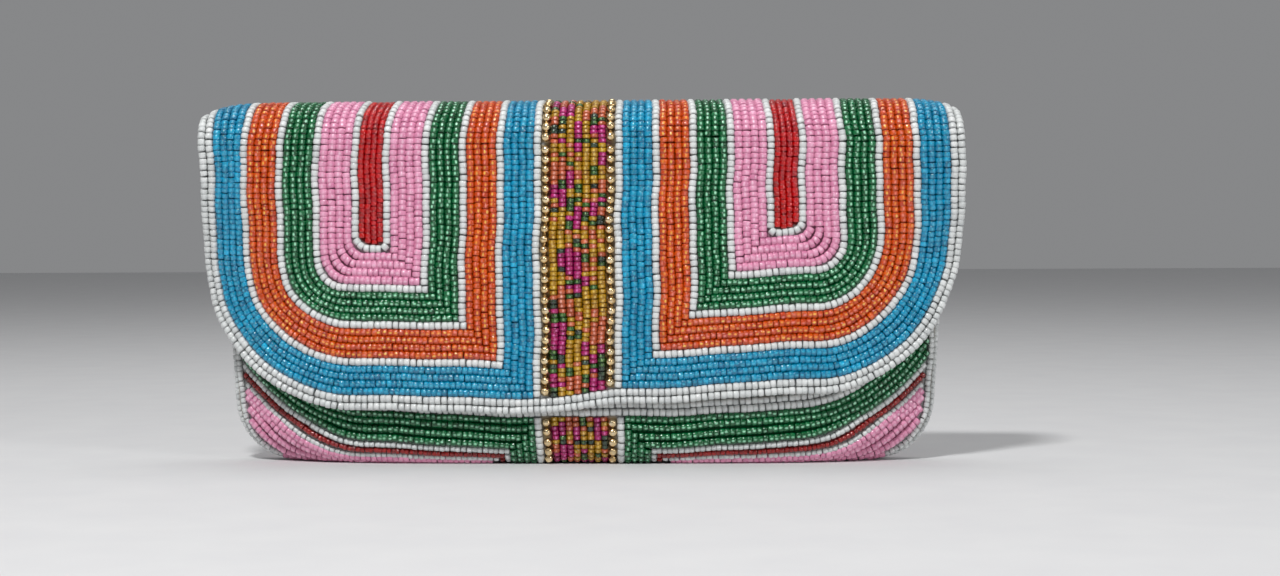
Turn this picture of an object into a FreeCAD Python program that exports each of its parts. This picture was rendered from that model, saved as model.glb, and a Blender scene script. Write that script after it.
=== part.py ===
import FreeCAD, Part
import math
import os

# Beaded flap clutch purse. Row frame: +X to the wearer's left-hand side of the
# front view, -Y out of the front (the flap side), +Z up. Origin: centre of the
# flat base, on the surface that the purse stands on. All lengths in mm.
#
# The purse is one long embroidered panel folded into a pouch: a front panel, a
# flat base, a back panel, a half-round top fold and a flap that hangs down over
# the front. Each panel is a sandwich: bead layer, ground fabric, board, lining.

V = FreeCAD.Vector

# ---------------------------------------------------------------- dimensions
Y_ORIGIN = 2.31       # moves the finished purse so that its middle is at Y = 0
BEAD_T = 2.2          # bead layer, from the ground fabric to the bead crowns
FABRIC_T = 0.6        # ground fabric
BOARD_T = 0.8         # pasteboard stiffener
LINING_T = 0.4        # satin lining
R_FOLD = 12.8         # top fold radius, to the outside of the ground fabric
Z_FOLD = 107.0        # height of the fold's centre line
Z_MOUTH = 103.0       # top edge of the front panel
Z_BASE = BEAD_T       # ground fabric level at the base
FLAP_HALF = 128.0     # half width of the flap
FLAP_DROP = 89.1      # flap length below the fold's centre line
FLAP_CORNER = 50.0    # flap's lower corner radius
BODY_HALF_LOW = 117.5   # half width of the pouch above its lower corners
BODY_HALF_TOP = 123.0   # half width of the pouch at the fold
BODY_CORNER_X, BODY_CORNER_Z = 18.0, 19.8
Y_SEAM_F, Y_SEAM_B = 3.4, 9.4   # side seam: front and back panel edges
Y_BASE_F, Y_BASE_B = -7.5, 6.0  # flat base, front and back limits at the centre
Z_ROUND_F = 14.2      # height where the front panel starts to round under
Z_ROUND_B = 11.2      # the same on the back panel
GAP_FLAP = 0.7        # clearance between flap lining and the front panel's beads
FLAP_BULGE = 4.5      # how far the filled pouch pushes the flap forward
FLAP_CURL = 11.0      # how far the flap's side edges curl back
HINGE_CUT = 40.0      # degrees of fold arc that stay with each panel
FOLD_FROM, FOLD_TO = 50.0, 130.0

# bead rows, in the panel's own flat coordinates (u across, q down)
W_ROW, C_ROW, P_ROW = 2.55, 2.45, 2.65   # pitch of white, coloured and pink rows
BAND_HALF = 14.8               # centre band with its gold and white columns
U_OUT = 123.2                  # where the outermost blue row starts
Q_BOT = 84.3
R_OUT = 45.2
BANDS = [("blue", 4, C_ROW), ("white", 1, W_ROW), ("orange", 4, C_ROW), ("white", 1, W_ROW), ("green", 4, C_ROW),
         ("white", 1, W_ROW), ("pink", 4, P_ROW), ("white", 1, W_ROW), ("red", 1, C_ROW)]

# magnetic snap
SNAP_Z, SNAP_R = 45.0, 7.0
CUP_T, CAP_T = 1.4, 1.1
POST_R, POST_L = 2.0, 0.9
RECESS_R, RECESS_D = 3.4, 1.2

OUT = "parts"
os.makedirs(OUT, exist_ok=True)
for old in os.listdir(OUT):
    if old.endswith(".step"):
        os.remove(os.path.join(OUT, old))


# ---------------------------------------------------------------- shape laws
def smooth(t):
    t = max(0.0, min(1.0, t))
    return t * t * (3 - 2 * t)


def flap_y(x, s):
    """Outside of the flap's ground fabric at x, s below the fold's centre."""
    a = min(abs(x) / 127.0, 1.03)
    bulge = FLAP_BULGE * smooth(s / 55.0) * (1 - a ** 2.2)
    curl = FLAP_CURL * smooth(s / 45.0) * a ** 5
    return -R_FOLD - bulge + curl


def across(u, s):
    """x of a point u along the fabric from the centre."""
    return u - math.copysign(1.2 * smooth(s / 45.0) * abs(u / 127.0) ** 9, u)


def droop(u, q):
    """Height below the fold of a point of the flap's pattern: the hem is bowed
    and its right half hangs a little shorter."""
    bow = 2.4 * (u / 100.0) ** 2 * min(1.0, q / 60.0)
    right = (2.8 * smooth((u + 12.0) / 26.0) + 1.9 * smooth((u - 5.0) / 65.0)) * min(1.0, q / 35.0)
    return q - bow - right


def body_half(z):
    if z >= 22.0:
        return BODY_HALF_LOW + (BODY_HALF_TOP - BODY_HALF_LOW) * (z - 22.0) / 85.0
    k = min(1.0, (22.0 - z) / BODY_CORNER_Z)
    return BODY_HALF_LOW - BODY_CORNER_X * (1 - math.sqrt(max(0.0, 1 - k * k)))


def front_y(x, z):
    """Outside of the front panel's ground fabric."""
    t = min(1.0, abs(x) / body_half(z))
    base = flap_y(x, Z_FOLD - z) + FABRIC_T + BOARD_T + LINING_T + GAP_FLAP + BEAD_T
    return base + (Y_SEAM_F - base) * t ** 8


Y_FRONT_LOW = front_y(0.0, Z_ROUND_F)
SECTION = []   # (kind, y at the centre, z, share of the way from front to back)


def lens(t, z):
    """Share of the full depth that the front panel keeps at t across."""
    x = t * body_half(Z_ROUND_F)
    return (front_y(x, Z_ROUND_F) - Y_SEAM_F) / (Y_FRONT_LOW - Y_SEAM_F)


def shell_point(t, kind, y, z, share):
    """A point of the pouch's outer fabric; t from -1 to 1 across."""
    x = t * body_half(z)
    a = abs(t)
    if kind == "front":
        return V(x, front_y(x, z), z)
    seam = Y_SEAM_F + (Y_SEAM_B - Y_SEAM_F) * share
    k = lens(a, z) * (1 - share) + (1 - a ** 8) * share
    return V(x, seam + (y - seam) * k, z)


def section_front(n_wall=12, n_round=8, z_top=Z_MOUTH, z_low=None):
    rows = [("front", 0, z_top + (Z_ROUND_F - z_top) * i / n_wall, 0.0)
            for i in range(n_wall + 1)]
    a, b = Y_BASE_F - Y_FRONT_LOW, Z_ROUND_F - Z_BASE
    for i in range(1, n_round + 1):
        w = math.pi / 2 * i / n_round
        rows.append(("low", Y_BASE_F - a * math.cos(w), Z_ROUND_F - b * math.sin(w),
                     0.35 * i / n_round))
    return rows


def section_back(n_wall=12, n_round=8, z_top=Z_FOLD):
    a, b = R_FOLD - Y_BASE_B, Z_ROUND_B - Z_BASE
    rows = []
    for i in range(n_round + 1):
        w = math.pi / 2 * i / n_round
        rows.append(("low", Y_BASE_B + a * math.sin(w), Z_ROUND_B - b * math.cos(w),
                     0.65 + 0.35 * i / n_round))
    for i in range(1, n_wall + 1):
        rows.append(("back", R_FOLD, Z_ROUND_B + (z_top - Z_ROUND_B) * i / n_wall, 1.0))
    return rows


T_SAMPLES = [-1, -0.975, -0.94, -0.89, -0.82, -0.72, -0.58, -0.4, -0.2, 0,
             0.2, 0.4, 0.58, 0.72, 0.82, 0.89, 0.94, 0.975, 1]


def fold_half(phi):
    return BODY_HALF_TOP + (FLAP_HALF - BODY_HALF_TOP) * phi / 180.0


def fold_point(t, phi):
    """Outside of the fold's fabric; phi 0 at the back, 180 at the front."""
    c, s = math.cos(math.radians(phi)), math.sin(math.radians(phi))
    y = R_FOLD * c
    if phi < 90:
        y -= (R_FOLD - Y_SEAM_B) * abs(t) ** 8 * c * c
    return V(t * fold_half(phi), y, Z_FOLD + R_FOLD * s * (1 - 0.3 * abs(t) ** 24))


def fold_rows(a, b, n):
    return [a + (b - a) * i / n for i in range(n + 1)]


# ---------------------------------------------------------------- solids
def normals(grid):
    """Unit normals of a grid of points, by central differences."""
    nu, nv = len(grid), len(grid[0])
    out = []
    for i in range(nu):
        row = []
        for j in range(nv):
            du = grid[min(i + 1, nu - 1)][j] - grid[max(i - 1, 0)][j]
            dv = grid[i][min(j + 1, nv - 1)] - grid[i][max(j - 1, 0)]
            n = du.cross(dv)
            n.normalize()
            row.append(n)
        out.append(row)
    return out


def offset(grid, norm, depth):
    return [[p + n * depth for p, n in zip(gr, nr)] for gr, nr in zip(grid, norm)]


def surface(grid):
    s = Part.BSplineSurface()
    s.interpolate(grid)
    return s


def plate(outer, inner):
    """Closed solid between two grids of the same size."""
    a, b = surface(outer), surface(inner)
    faces = [a.toShape(), b.toShape()]
    a0, a1, a2, a3 = a.bounds()
    b0, b1, b2, b3 = b.bounds()
    for ca, cb in ((a.uIso(a0), b.uIso(b0)), (a.uIso(a1), b.uIso(b1)),
                   (a.vIso(a2), b.vIso(b2)), (a.vIso(a3), b.vIso(b3))):
        faces.append(Part.makeRuledSurface(ca.toShape(), cb.toShape()))
    return solid_of(faces)


def solid_of(faces):
    shell = Part.Shell(faces)
    shell.sewShape()
    shell = shell if shell.ShapeType == "Shell" else shell.Shells[0]
    s = Part.Solid(shell)
    if s.Volume < 0:
        s.reverse()
    if not s.isValid():
        s.fix(1e-3, 1e-3, 1e-2)
    return s


def layer(grid, norm, start, end):
    """Layer of a panel between two depths inside its outer fabric surface
    (negative: outside). The normals given point inwards."""
    return plate(offset(grid, norm, start), offset(grid, norm, end))


NODES = {}


def keep(name, shapes):
    solids = []
    for s in (shapes if isinstance(shapes, list) else [shapes]):
        solids += [x for x in s.Solids if x.Volume > 0.02]
    NODES.setdefault(name, []).extend(solids)


def write_all():
    for name in NODES:
        solids = NODES[name] = [s.translated(V(0, Y_ORIGIN, 0)) for s in NODES[name]]
        shape = solids[0] if len(solids) == 1 else Part.Compound(solids)
        shape.exportStep(os.path.join(OUT, name + ".step"))
        bad = [i for i, s in enumerate(solids) if not s.isValid() or s.Volume <= 0]
        b = shape.BoundBox
        print("%-24s %3d solids %9.1f mm3  x %.1f..%.1f y %.1f..%.1f z %.1f..%.1f %s" % (
            name, len(solids), sum(s.Volume for s in solids), b.XMin, b.XMax,
            b.YMin, b.YMax, b.ZMin, b.ZMax, "BAD %s" % bad if bad else ""))


# ------------------------------------------------------------- panel grids
def inward(grid, norm, probe):
    """Turns the normals so that they point towards the probe point."""
    i, j = len(grid) // 2, len(grid[0]) // 2
    d = probe - grid[i][j]
    if norm[i][j].dot(d) < 0:
        norm = [[n * -1 for n in row] for row in norm]
    return norm


CAVITY = V(0, 0, 60)

front_rows = section_front()
front_grid = [[shell_point(t, *r) for r in front_rows] for t in T_SAMPLES]
front_norm = inward(front_grid, normals(front_grid), CAVITY)

back_rows = section_back()
back_phi = fold_rows(0, HINGE_CUT, 4)[1:]
back_grid = [[shell_point(t, *r) for r in back_rows] + [fold_point(t, p) for p in back_phi]
             for t in T_SAMPLES]
back_norm = inward(back_grid, normals(back_grid), CAVITY)

fold_grid = [[fold_point(t, p) for p in fold_rows(FOLD_FROM, FOLD_TO, 8)] for t in T_SAMPLES]
fold_norm = inward(fold_grid, normals(fold_grid), V(0, 0, Z_FOLD))


def flap_half(w):
    """Half width and drop of the flap's outline: w runs 0 at the fold to 2 at the hem."""
    q0 = FLAP_DROP - FLAP_CORNER
    if w <= 1:
        return FLAP_HALF, q0 * w
    a = math.pi / 2 * (w - 1)
    return (FLAP_HALF - FLAP_CORNER * (1 - math.cos(a)), q0 + FLAP_CORNER * math.sin(a))


def flap_point(u, q):
    s = droop(u, q)
    x = across(u, s)
    return V(x, flap_y(x, s), Z_FOLD - s)


flap_w = [i / 6.0 for i in range(7)] + [1 + i / 10.0 for i in range(1, 11)]


def flap_rows_at(t, w_list=flap_w, inset=0.0):
    pts = []
    for w in w_list:
        h, q = flap_half(w)
        pts.append(flap_point(t * (h - inset), q))
    return pts


flap_phi = fold_rows(180 - HINGE_CUT, 180, 4)[:-1]
flap_grid = [[fold_point(t, p) for p in flap_phi] + flap_rows_at(t) for t in T_SAMPLES]
flap_norm = inward(flap_grid, normals(flap_grid), CAVITY)

D1 = FABRIC_T
D2 = D1 + BOARD_T
D3 = D2 + LINING_T
GLUE = 0.08      # glue line between the layers

# ---------------------------------------------------- fabric, boards, linings
keep("front_ground_fabric", layer(front_grid, front_norm, 0, D1))
keep("back_ground_fabric", layer(back_grid, back_norm, 0, D1))
keep("fold_ground_fabric", layer(fold_grid, fold_norm, 0, D1))
keep("flap_ground_fabric", layer(flap_grid, flap_norm, 0, D1))

keep("front_lining", layer(front_grid, front_norm, D2, D3))
keep("back_lining", layer(back_grid, back_norm, D2, D3))
keep("fold_lining", layer(fold_grid, fold_norm, D2, D3))
keep("flap_lining", layer(flap_grid, flap_norm, D2, D3))


def sub(grid, norm, i0, i1, j0, j1):
    return ([row[j0:j1] for row in grid[i0:i1]], [row[j0:j1] for row in norm[i0:i1]])


n_t = len(T_SAMPLES)
keep("front_board", layer(*sub(front_grid, front_norm, 3, n_t - 3, 1, 13), D1 + GLUE, D2 - GLUE))
keep("back_board", layer(*sub(back_grid, back_norm, 3, n_t - 3, 8, 21), D1 + GLUE, D2 - GLUE))
keep("flap_board", layer(*sub(flap_grid, flap_norm, 3, n_t - 3, 6, len(flap_grid[0]) - 2), D1 + GLUE, D2 - GLUE))
keep("fold_interlining", layer(*sub(fold_grid, fold_norm, 3, n_t - 3, 0, 9), D1 + GLUE, D2 - GLUE))

# ------------------------------------------------------------------ flat base
HALF_BASE = body_half(Z_BASE)


def base_edge(row):
    return [shell_point(t, *row) for t in T_SAMPLES]


base_front, base_back = base_edge(front_rows[-1]), base_edge(back_rows[0])


def flat_strip(x0, x1, z0, z1, inset=0.0):
    """Piece of the base between two stations, planar above and below."""
    def line(edge, s):
        pts = []
        for k in range(13):
            x = x0 + (x1 - x0) * k / 12.0
            t = x / HALF_BASE
            row = front_rows[-1] if edge == "f" else back_rows[0]
            p = shell_point(max(-1, min(1, t)), *row)
            pts.append(V(x, p.y + s * inset, z0))
        c = Part.BSplineCurve()
        c.interpolate(pts)
        return c.toShape(), pts
    f, fp = line("f", 1)
    b, bp = line("b", -1)
    wire = Part.Wire([f, Part.LineSegment(fp[-1], bp[-1]).toShape(), b,
                      Part.LineSegment(bp[0], fp[0]).toShape()])
    return Part.Face(wire).extrude(V(0, 0, z1 - z0))


keep("base_ground_fabric", flat_strip(-96.0, 96.0, Z_BASE, Z_BASE + D1, 0.5))
keep("base_board", Part.makeBox(150, 8.6, BOARD_T - 2 * GLUE, V(-75, Y_BASE_F + 2.4, Z_BASE + D1 + GLUE)))
keep("base_lining", Part.makeBox(148, 6.6, LINING_T, V(-74, Y_BASE_F + 3.6, Z_BASE + D2 + 0.02)))

# --------------------------------------------------------------- bead patterns
SEAM = 0.04      # half the gap between two bands of beads
LIFT = 0.15      # gap between the ground fabric and the beads


def p_flap(u, q):
    return flap_point(u, q)


L_ROUND_F = 14.0     # developed length of the front panel's round edge
L_ROUND_B = 12.5
S_FRONT = Z_FOLD - Z_ROUND_F
S_BACK = Z_FOLD - Z_ROUND_B
Q_END_F, Q_END_B = S_FRONT + L_ROUND_F, S_BACK + L_ROUND_B


def pouch(u, kind, y, z, share):
    w = body_half(z)
    return shell_point(max(-1.0, min(1.0, u / w)), kind, y, z, share)


def p_front(u, s):
    if s <= S_FRONT:
        return pouch(u, "front", 0, Z_FOLD - s, 0.0)
    w = math.pi / 2 * min(1.0, (s - S_FRONT) / L_ROUND_F)
    return pouch(u, "low", Y_BASE_F - (Y_BASE_F - Y_FRONT_LOW) * math.cos(w),
                 Z_ROUND_F - (Z_ROUND_F - Z_BASE) * math.sin(w), 0.35 * w / (math.pi / 2))


def p_back(u, s):
    if s <= S_BACK:
        return pouch(u, "back", R_FOLD, Z_FOLD - s, 1.0)
    w = math.pi / 2 * (1 - min(1.0, (s - S_BACK) / L_ROUND_B))
    return pouch(u, "low", Y_BASE_B + (R_FOLD - Y_BASE_B) * math.sin(w),
                 Z_ROUND_B - (Z_ROUND_B - Z_BASE) * math.cos(w),
                 0.65 + 0.35 * w / (math.pi / 2))


def back_x(u, s):
    return u / FLAP_HALF * body_half(max(22.0, p_back(0.0, s).z))


def p_back_motif(u, q):
    """The back's pattern narrows with the panel."""
    s = q - 2.4 * (u / 100.0) ** 2 * min(1.0, q / 60.0)
    return p_back(back_x(u, s), s)


def normal_at(place, u, q, sign):
    e = 0.05
    n = (place(u + e, q) - place(u - e, q)).cross(place(u, q + e) - place(u, q - e))
    n.normalize()
    return n * sign


def above(p):
    """Keeps the panels' beads off the surface that the base stands on."""
    return V(p.x, p.y, max(p.z, 0.35))


def strip(place, sign, rows, node):
    """One band: rows of (u, q) points; sign turns the normal outwards."""
    outer = [[above(place(u, q) + normal_at(place, u, q, sign) * BEAD_T) for u, q in r] for r in rows]
    inner = [[place(u, q) + normal_at(place, u, q, sign) * LIFT for u, q in r] for r in rows]
    keep(node, plate(outer, inner))


def mix(a, b, n):
    return [a + (b - a) * i / float(n) for i in range(n + 1)]


def resample(path, n):
    """n + 1 evenly spaced points along a path."""
    run = [0.0]
    for p, r in zip(path[:-1], path[1:]):
        run.append(run[-1] + math.hypot(r[0] - p[0], r[1] - p[1]))
    out, k = [], 0
    for i in range(n + 1):
        want = run[-1] * i / n
        while k < len(path) - 2 and run[k + 1] < want:
            k += 1
        f = (want - run[k]) / max(1e-9, run[k + 1] - run[k])
        out.append((path[k][0] + (path[k + 1][0] - path[k][0]) * f,
                    path[k][1] + (path[k + 1][1] - path[k][1]) * f))
    return out


def band_edges():
    """(name, outer offset, inner offset) of each band from the outermost blue row."""
    d, out = 0.0, []
    for name, n, pitch in BANDS:
        w = n * pitch
        out.append((name, d, d + w))
        d += w
    return out


EDGES = band_edges()
D_RED = EDGES[-1][1]


def corner_radius(d):
    """Outer corner radius of the row at offset d; the inner rows stay rounder than a plain offset."""
    return R_OUT - d if d < 35.8 else 9.4 - (d - 35.8) * 0.374


def outer_path(d, q_top, u_in):
    """Down the side, round the corner and along the hem to u_in."""
    uo, qb = U_OUT - d, Q_BOT - d
    r = corner_radius(d)
    pts = [(uo, q) for q in mix(q_top, qb - r, 8)]
    pts += [(uo - r + r * math.cos(a), qb - r + r * math.sin(a)) for a in mix(0, math.pi / 2, 14)[1:]]
    pts += [(u, qb) for u in mix(uo - r, u_in, 8)[1:]]
    return pts


def motif(place, sign, prefix, q_top):
    """Nested U bands on each side of a straight centre band."""
    for side in (1, -1):
        def put(rows, node):
            strip(place, sign, [[(u * side, q) for u, q in r] for r in rows], node)
        for name, d1, d2 in EDGES:
            node = prefix + "_" + name + "_beads"
            a, b = d1 + SEAM, d2 - SEAM
            if name == "red":
                us = mix(BAND_HALF + a, U_OUT - a, 6)
                rise = [4.4 * max(0.0, (u - U_OUT + a + 5.0) / 5.0) ** 3 for u in us]
                put([[(u, q) for q in mix(q_top, Q_BOT - a - h, 6)] for u, h in zip(us, rise)], node)
                continue
            ds = mix(a, b, 3 if name != "white" else 2)
            arms = [outer_path(d, q_top, BAND_HALF + d + SEAM) for d in ds]
            put([resample(p, 30) for p in arms], node)
            put([[(BAND_HALF + d, q) for q in mix(q_top, Q_BOT - d - SEAM, 8)] for d in ds], node)
        put([[(u, q) for q in mix(q_top, Q_BOT - SEAM, 8)]
             for u in mix(BAND_HALF - W_ROW + SEAM, BAND_HALF - SEAM, 2)], prefix + "_white_beads")
        put([[(u, q) for q in mix(q_top, Q_BOT - SEAM, 8)]
             for u in mix(BAND_HALF - W_ROW - 3.0 + SEAM, BAND_HALF - W_ROW - SEAM, 2)], prefix + "_gold_beads")
    c = BAND_HALF - W_ROW - 3.0 - SEAM
    strip(place, sign, [[(u, q) for q in mix(q_top, Q_BOT - SEAM, 8)] for u in mix(-c, c, 6)],
          prefix + "_centre_beads")


# ---- flap
motif(p_flap, -1, "flap", 0.0)
d_edge = U_OUT - FLAP_HALF
for side in (1, -1):
    rows = [[(u * side, q) for u, q in resample(outer_path(d, 0.0, BAND_HALF), 30)]
            for d in mix(d_edge, -SEAM, 2)]
    strip(p_flap, -1, rows, "flap_border_beads")
strip(p_flap, -1, [[(u, q) for u in mix(-BAND_HALF + SEAM, BAND_HALF - SEAM, 8)]
                   for q in mix(Q_BOT + SEAM, FLAP_DROP, 2)], "flap_border_beads")


# ---- columns over the fold
def columns():
    """(colour, u0, u1) of every column that crosses the fold, one half."""
    c = [("gold", BAND_HALF - W_ROW - 3.0, BAND_HALF - W_ROW), ("white", BAND_HALF - W_ROW, BAND_HALF)]
    for name, d1, d2 in EDGES:
        if name == "red":
            c.append(("red", BAND_HALF + d1, U_OUT - d1))
        else:
            c.append((name, BAND_HALF + d1, BAND_HALF + d2))
            c.append((name, U_OUT - d2, U_OUT - d1))
    c.append(("white", U_OUT, FLAP_HALF))
    return c


def p_arc(u, phi):
    """Point over the fold for a pattern coordinate u."""
    return fold_point(u / FLAP_HALF, phi)


def normal_arc(u, phi):
    e = 0.05
    n = (p_arc(u + e, phi) - p_arc(u - e, phi)).cross(p_arc(u, phi + e) - p_arc(u, phi - e))
    n.normalize()
    c = V(0, math.cos(math.radians(phi)), math.sin(math.radians(phi)))
    return n if n.dot(c) > 0 else n * -1


def arc_strip(u0, u1, phis, node):
    us = mix(u0, u1, 2 if abs(u1 - u0) < 8 else 4)
    keep(node, plate([[p_arc(u, p) + normal_arc(u, p) * BEAD_T for p in phis] for u in us],
                     [[p_arc(u, p) + normal_arc(u, p) * LIFT for p in phis] for u in us]))


def arc_beads(prefix, p0, p1, n):
    for name, u0, u1 in columns():
        for side in (1, -1):
            arc_strip(side * (u0 + SEAM), side * (u1 - SEAM), mix(p0, p1, n), prefix + "_" + name + "_beads")
    c = BAND_HALF - W_ROW - 3.0 - SEAM
    arc_strip(-c, c, mix(p0, p1, n), prefix + "_centre_beads")


arc_beads("fold", FOLD_FROM, FOLD_TO, 8)
for a, b, node in ((-FLAP_HALF, -BAND_HALF, "flap_top_beads"), (-BAND_HALF + SEAM, BAND_HALF - SEAM, "flap_top_beads"),
                   (BAND_HALF, FLAP_HALF, "flap_top_beads")):
    us = mix(a, b, 8)
    phis = mix(180 - HINGE_CUT, 179.6, 6)
    keep(node, plate([[p_arc(u, p) + normal_arc(u, p) * BEAD_T for p in phis] for u in us],
                     [[p_arc(u, p) + normal_arc(u, p) * LIFT for p in phis] for u in us]))
    us = [u * 0.999 for u in us]
    phis = mix(0.4, HINGE_CUT, 6)
    keep("back_top_beads", plate([[p_arc(u, p) + normal_arc(u, p) * BEAD_T for p in phis] for u in us],
                                 [[p_arc(u, p) + normal_arc(u, p) * LIFT for p in phis] for u in us]))

# ---- back panel: the same U bands below the fold
motif(p_back_motif, 1, "back", 0.0)

# lower rows of the pouch, outside the flap's outline. They run from the side
# seam to the centre, turn down beside the centre band and go under the base.
LOWER = [("white", 5.2), ("green", 8.8), ("white", 2.0), ("red", 2.0), ("white", 2.1)]


def low_row(q, v, front):
    """A lower row from the centre column at v out to the side of the pouch."""
    cx, r0, bow = (70.0, 43.1, 4.2) if front else (U_OUT - R_OUT, R_OUT, 0.0)
    r = r0 + (q - Q_BOT)
    pts = [(u, q - bow * (u / 100.0) ** 2) for u in mix(v, cx, 10)]
    for a in mix(0, math.radians(85), 60)[1:]:
        u = cx + r * math.sin(a)
        s = q - bow * (u / 100.0) ** 2 - r * (1 - math.cos(a))
        if front and u > body_half(p_front(0, s).z) - 0.1:
            break
        b = s - 2.4 * (u / 100.0) ** 2
        if not front and back_x(u, b) > body_half(p_back(0, b).z) - 0.1:
            break
        pts.append((u, s))
    return pts


def corner_row(q, q_end, front):
    """The part of a row below the last full one that still lies on the panel, near its lower corner."""
    pts = low_row(q, 0.0, front)
    u_min, gap = (84.0, 0.12) if front else (95.0, 0.4)

    def depth(p):
        return max(p[1] - q_end + (0.0 if front else -2.4 * (p[0] / 100.0) ** 2), u_min - p[0] - gap)
    for i in range(1, len(pts)):
        if depth(pts[i]) < -gap:
            k = (depth(pts[i - 1]) + gap) / (depth(pts[i - 1]) - depth(pts[i]))
            k = max(0.0, min(1.0, k))
            start = (pts[i - 1][0] + (pts[i][0] - pts[i - 1][0]) * k, pts[i - 1][1] + (pts[i][1] - pts[i - 1][1]) * k)
            return [start] + pts[i:]
    return []


def lower(place, sign, prefix, q_top, q_end, front):
    for side in (1, -1):
        def put(rows, node):
            strip(place, sign, [[(u * side, q) for u, q in r] for r in rows], node)
        q, v = q_top, BAND_HALF
        for k, (name, w) in enumerate(LOWER):
            turn = 0.0 if k == 0 else w
            node = prefix + "_" + name + "_beads"
            fs = mix(SEAM / w, 1 - SEAM / w, 3 if w > 4 else 2)
            put([resample(low_row(q + w * f, v + turn * f + SEAM, front), 32) for f in fs], node)
            if turn and q_end - (q + w) > 1.0:
                put([[(v + w * f, s) for s in mix(q + w * f + SEAM, q_end - 0.05, 8)] for f in fs], node)
            q, v = q + w, v + turn
        w = q_end - q
        fs = mix(SEAM / w, 1 - 0.05 / w, 3)
        put([resample(low_row(q + w * f, v + SEAM, front), 32) for f in fs], prefix + "_pink_beads")
        corner = [corner_row(q_end + f, q_end, front) for f in mix(0.3, 5.8, 3)]
        put([resample(r, 10) for r in corner], prefix + "_pink_beads")
        q1 = q_top + LOWER[0][1]
        put([[(u, s) for s in mix(q1 + SEAM, q_end - 0.05, 8)] for u in mix(BAND_HALF - W_ROW + SEAM, BAND_HALF - SEAM, 2)],
            prefix + "_white_beads")
        put([[(u, s) for s in mix(q1 + SEAM, q_end - 0.05, 8)]
             for u in mix(BAND_HALF - W_ROW - 3.0 + SEAM, BAND_HALF - W_ROW - SEAM, 2)], prefix + "_gold_beads")
    c = BAND_HALF - W_ROW - 3.0 - SEAM
    strip(place, sign, [[(u, s) for s in mix(q1 + SEAM, q_end - 0.05, 8)] for u in mix(-c, c, 6)],
          prefix + "_centre_beads")
    strip(place, sign, [[(u, s) for u in mix(-BAND_HALF + SEAM, BAND_HALF - SEAM, 8)]
                        for s in mix(q_top + SEAM, q1 - SEAM, 2)], prefix + "_white_beads")


lower(p_front, -1, "front", 85.7, Q_END_F, True)
lower(p_back_motif, 1, "back", Q_BOT + SEAM, Q_END_B, False)

# ---- base beads: planar below, one strip for each band that crosses it
stations = [-HALF_BASE, -31.0, -BAND_HALF, BAND_HALF, 31.0, HALF_BASE]
for a, b in zip(stations[:-1], stations[1:]):
    keep("base_beads", flat_strip(a, b, 0.0, Z_BASE - LIFT))

# ------------------------------------------------------------- side binding
def side_grid(side, depth, n_y=3):
    """Strip round the pouch's side seam, from the base to the mouth."""
    zs = [Z_MOUTH - (Z_MOUTH - 22.0) * i / 8.0 for i in range(8)]
    angles = [math.pi / 2 * i / 8.0 for i in range(9)]
    path = [(body_half(z), z) for z in zs]
    path += [(BODY_HALF_LOW - BODY_CORNER_X * (1 - math.cos(a)), 22.0 - BODY_CORNER_Z * math.sin(a)) for a in angles]
    pts = []
    for i, (x, z) in enumerate(path):
        a, b = path[max(i - 1, 0)], path[min(i + 1, len(path) - 1)]
        dx, dz = b[0] - a[0], b[1] - a[1]
        if i == len(path) - 1:
            nx, nz = 0.0, -1.0
        else:
            length = math.hypot(dx, dz)
            nx, nz = -dz / length, dx / length
        pts.append((x + nx * depth, z + nz * depth))
    lo = [Y_SEAM_F + (0.0 if z > Z_ROUND_F else (shell_y(z, "f") - Y_SEAM_F)) for x, z in path]
    hi = [Y_SEAM_B + (0.0 if z > Z_ROUND_B else (shell_y(z, "b") - Y_SEAM_B)) for x, z in path]
    return [[V(side * px, l + (h - l) * k / n_y, pz) for (px, pz), l, h in zip(pts, lo, hi)]
            for k in range(n_y + 1)]


def shell_y(z, which):
    """y of the panel edge at the seam at height z."""
    if which == "f":
        w = math.asin(max(0.0, min(1.0, (Z_ROUND_F - z) / (Z_ROUND_F - Z_BASE))))
        return Y_SEAM_F + (Y_SEAM_B - Y_SEAM_F) * 0.35 * w / (math.pi / 2)
    w = math.acos(max(0.0, min(1.0, (Z_ROUND_B - z) / (Z_ROUND_B - Z_BASE))))
    return Y_SEAM_F + (Y_SEAM_B - Y_SEAM_F) * (0.65 + 0.35 * w / (math.pi / 2))


for side, label in ((-1, "left"), (1, "right")):
    keep("side_binding_" + label, plate(side_grid(side, 0.4), side_grid(side, 0.02)))
    keep("side_edge_beads", plate(side_grid(side, BEAD_T), side_grid(side, 0.42)))

# --------------------------------------------------------------- mouth binding
mouth_rows = [("front", 0, Z_MOUTH + 0.12 + 1.1 * i / 3.0, 0.0) for i in range(4)]
mouth_grid = [[shell_point(t, *r) for r in mouth_rows] for t in T_SAMPLES]
mouth_norm = inward(mouth_grid, normals(mouth_grid), CAVITY)
keep("mouth_binding", layer(mouth_grid, mouth_norm, 0.0, D3))

# ---------------------------------------------------------------- magnetic snap
Y_F = front_y(0, SNAP_Z)              # front panel's fabric
Y_L = flap_y(0, Z_FOLD - SNAP_Z) + D3  # flap lining's inner face


def disc(r, y0, y1):
    return Part.makeCylinder(r, y1 - y0, V(0, y0, SNAP_Z), V(0, 1, 0))


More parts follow.
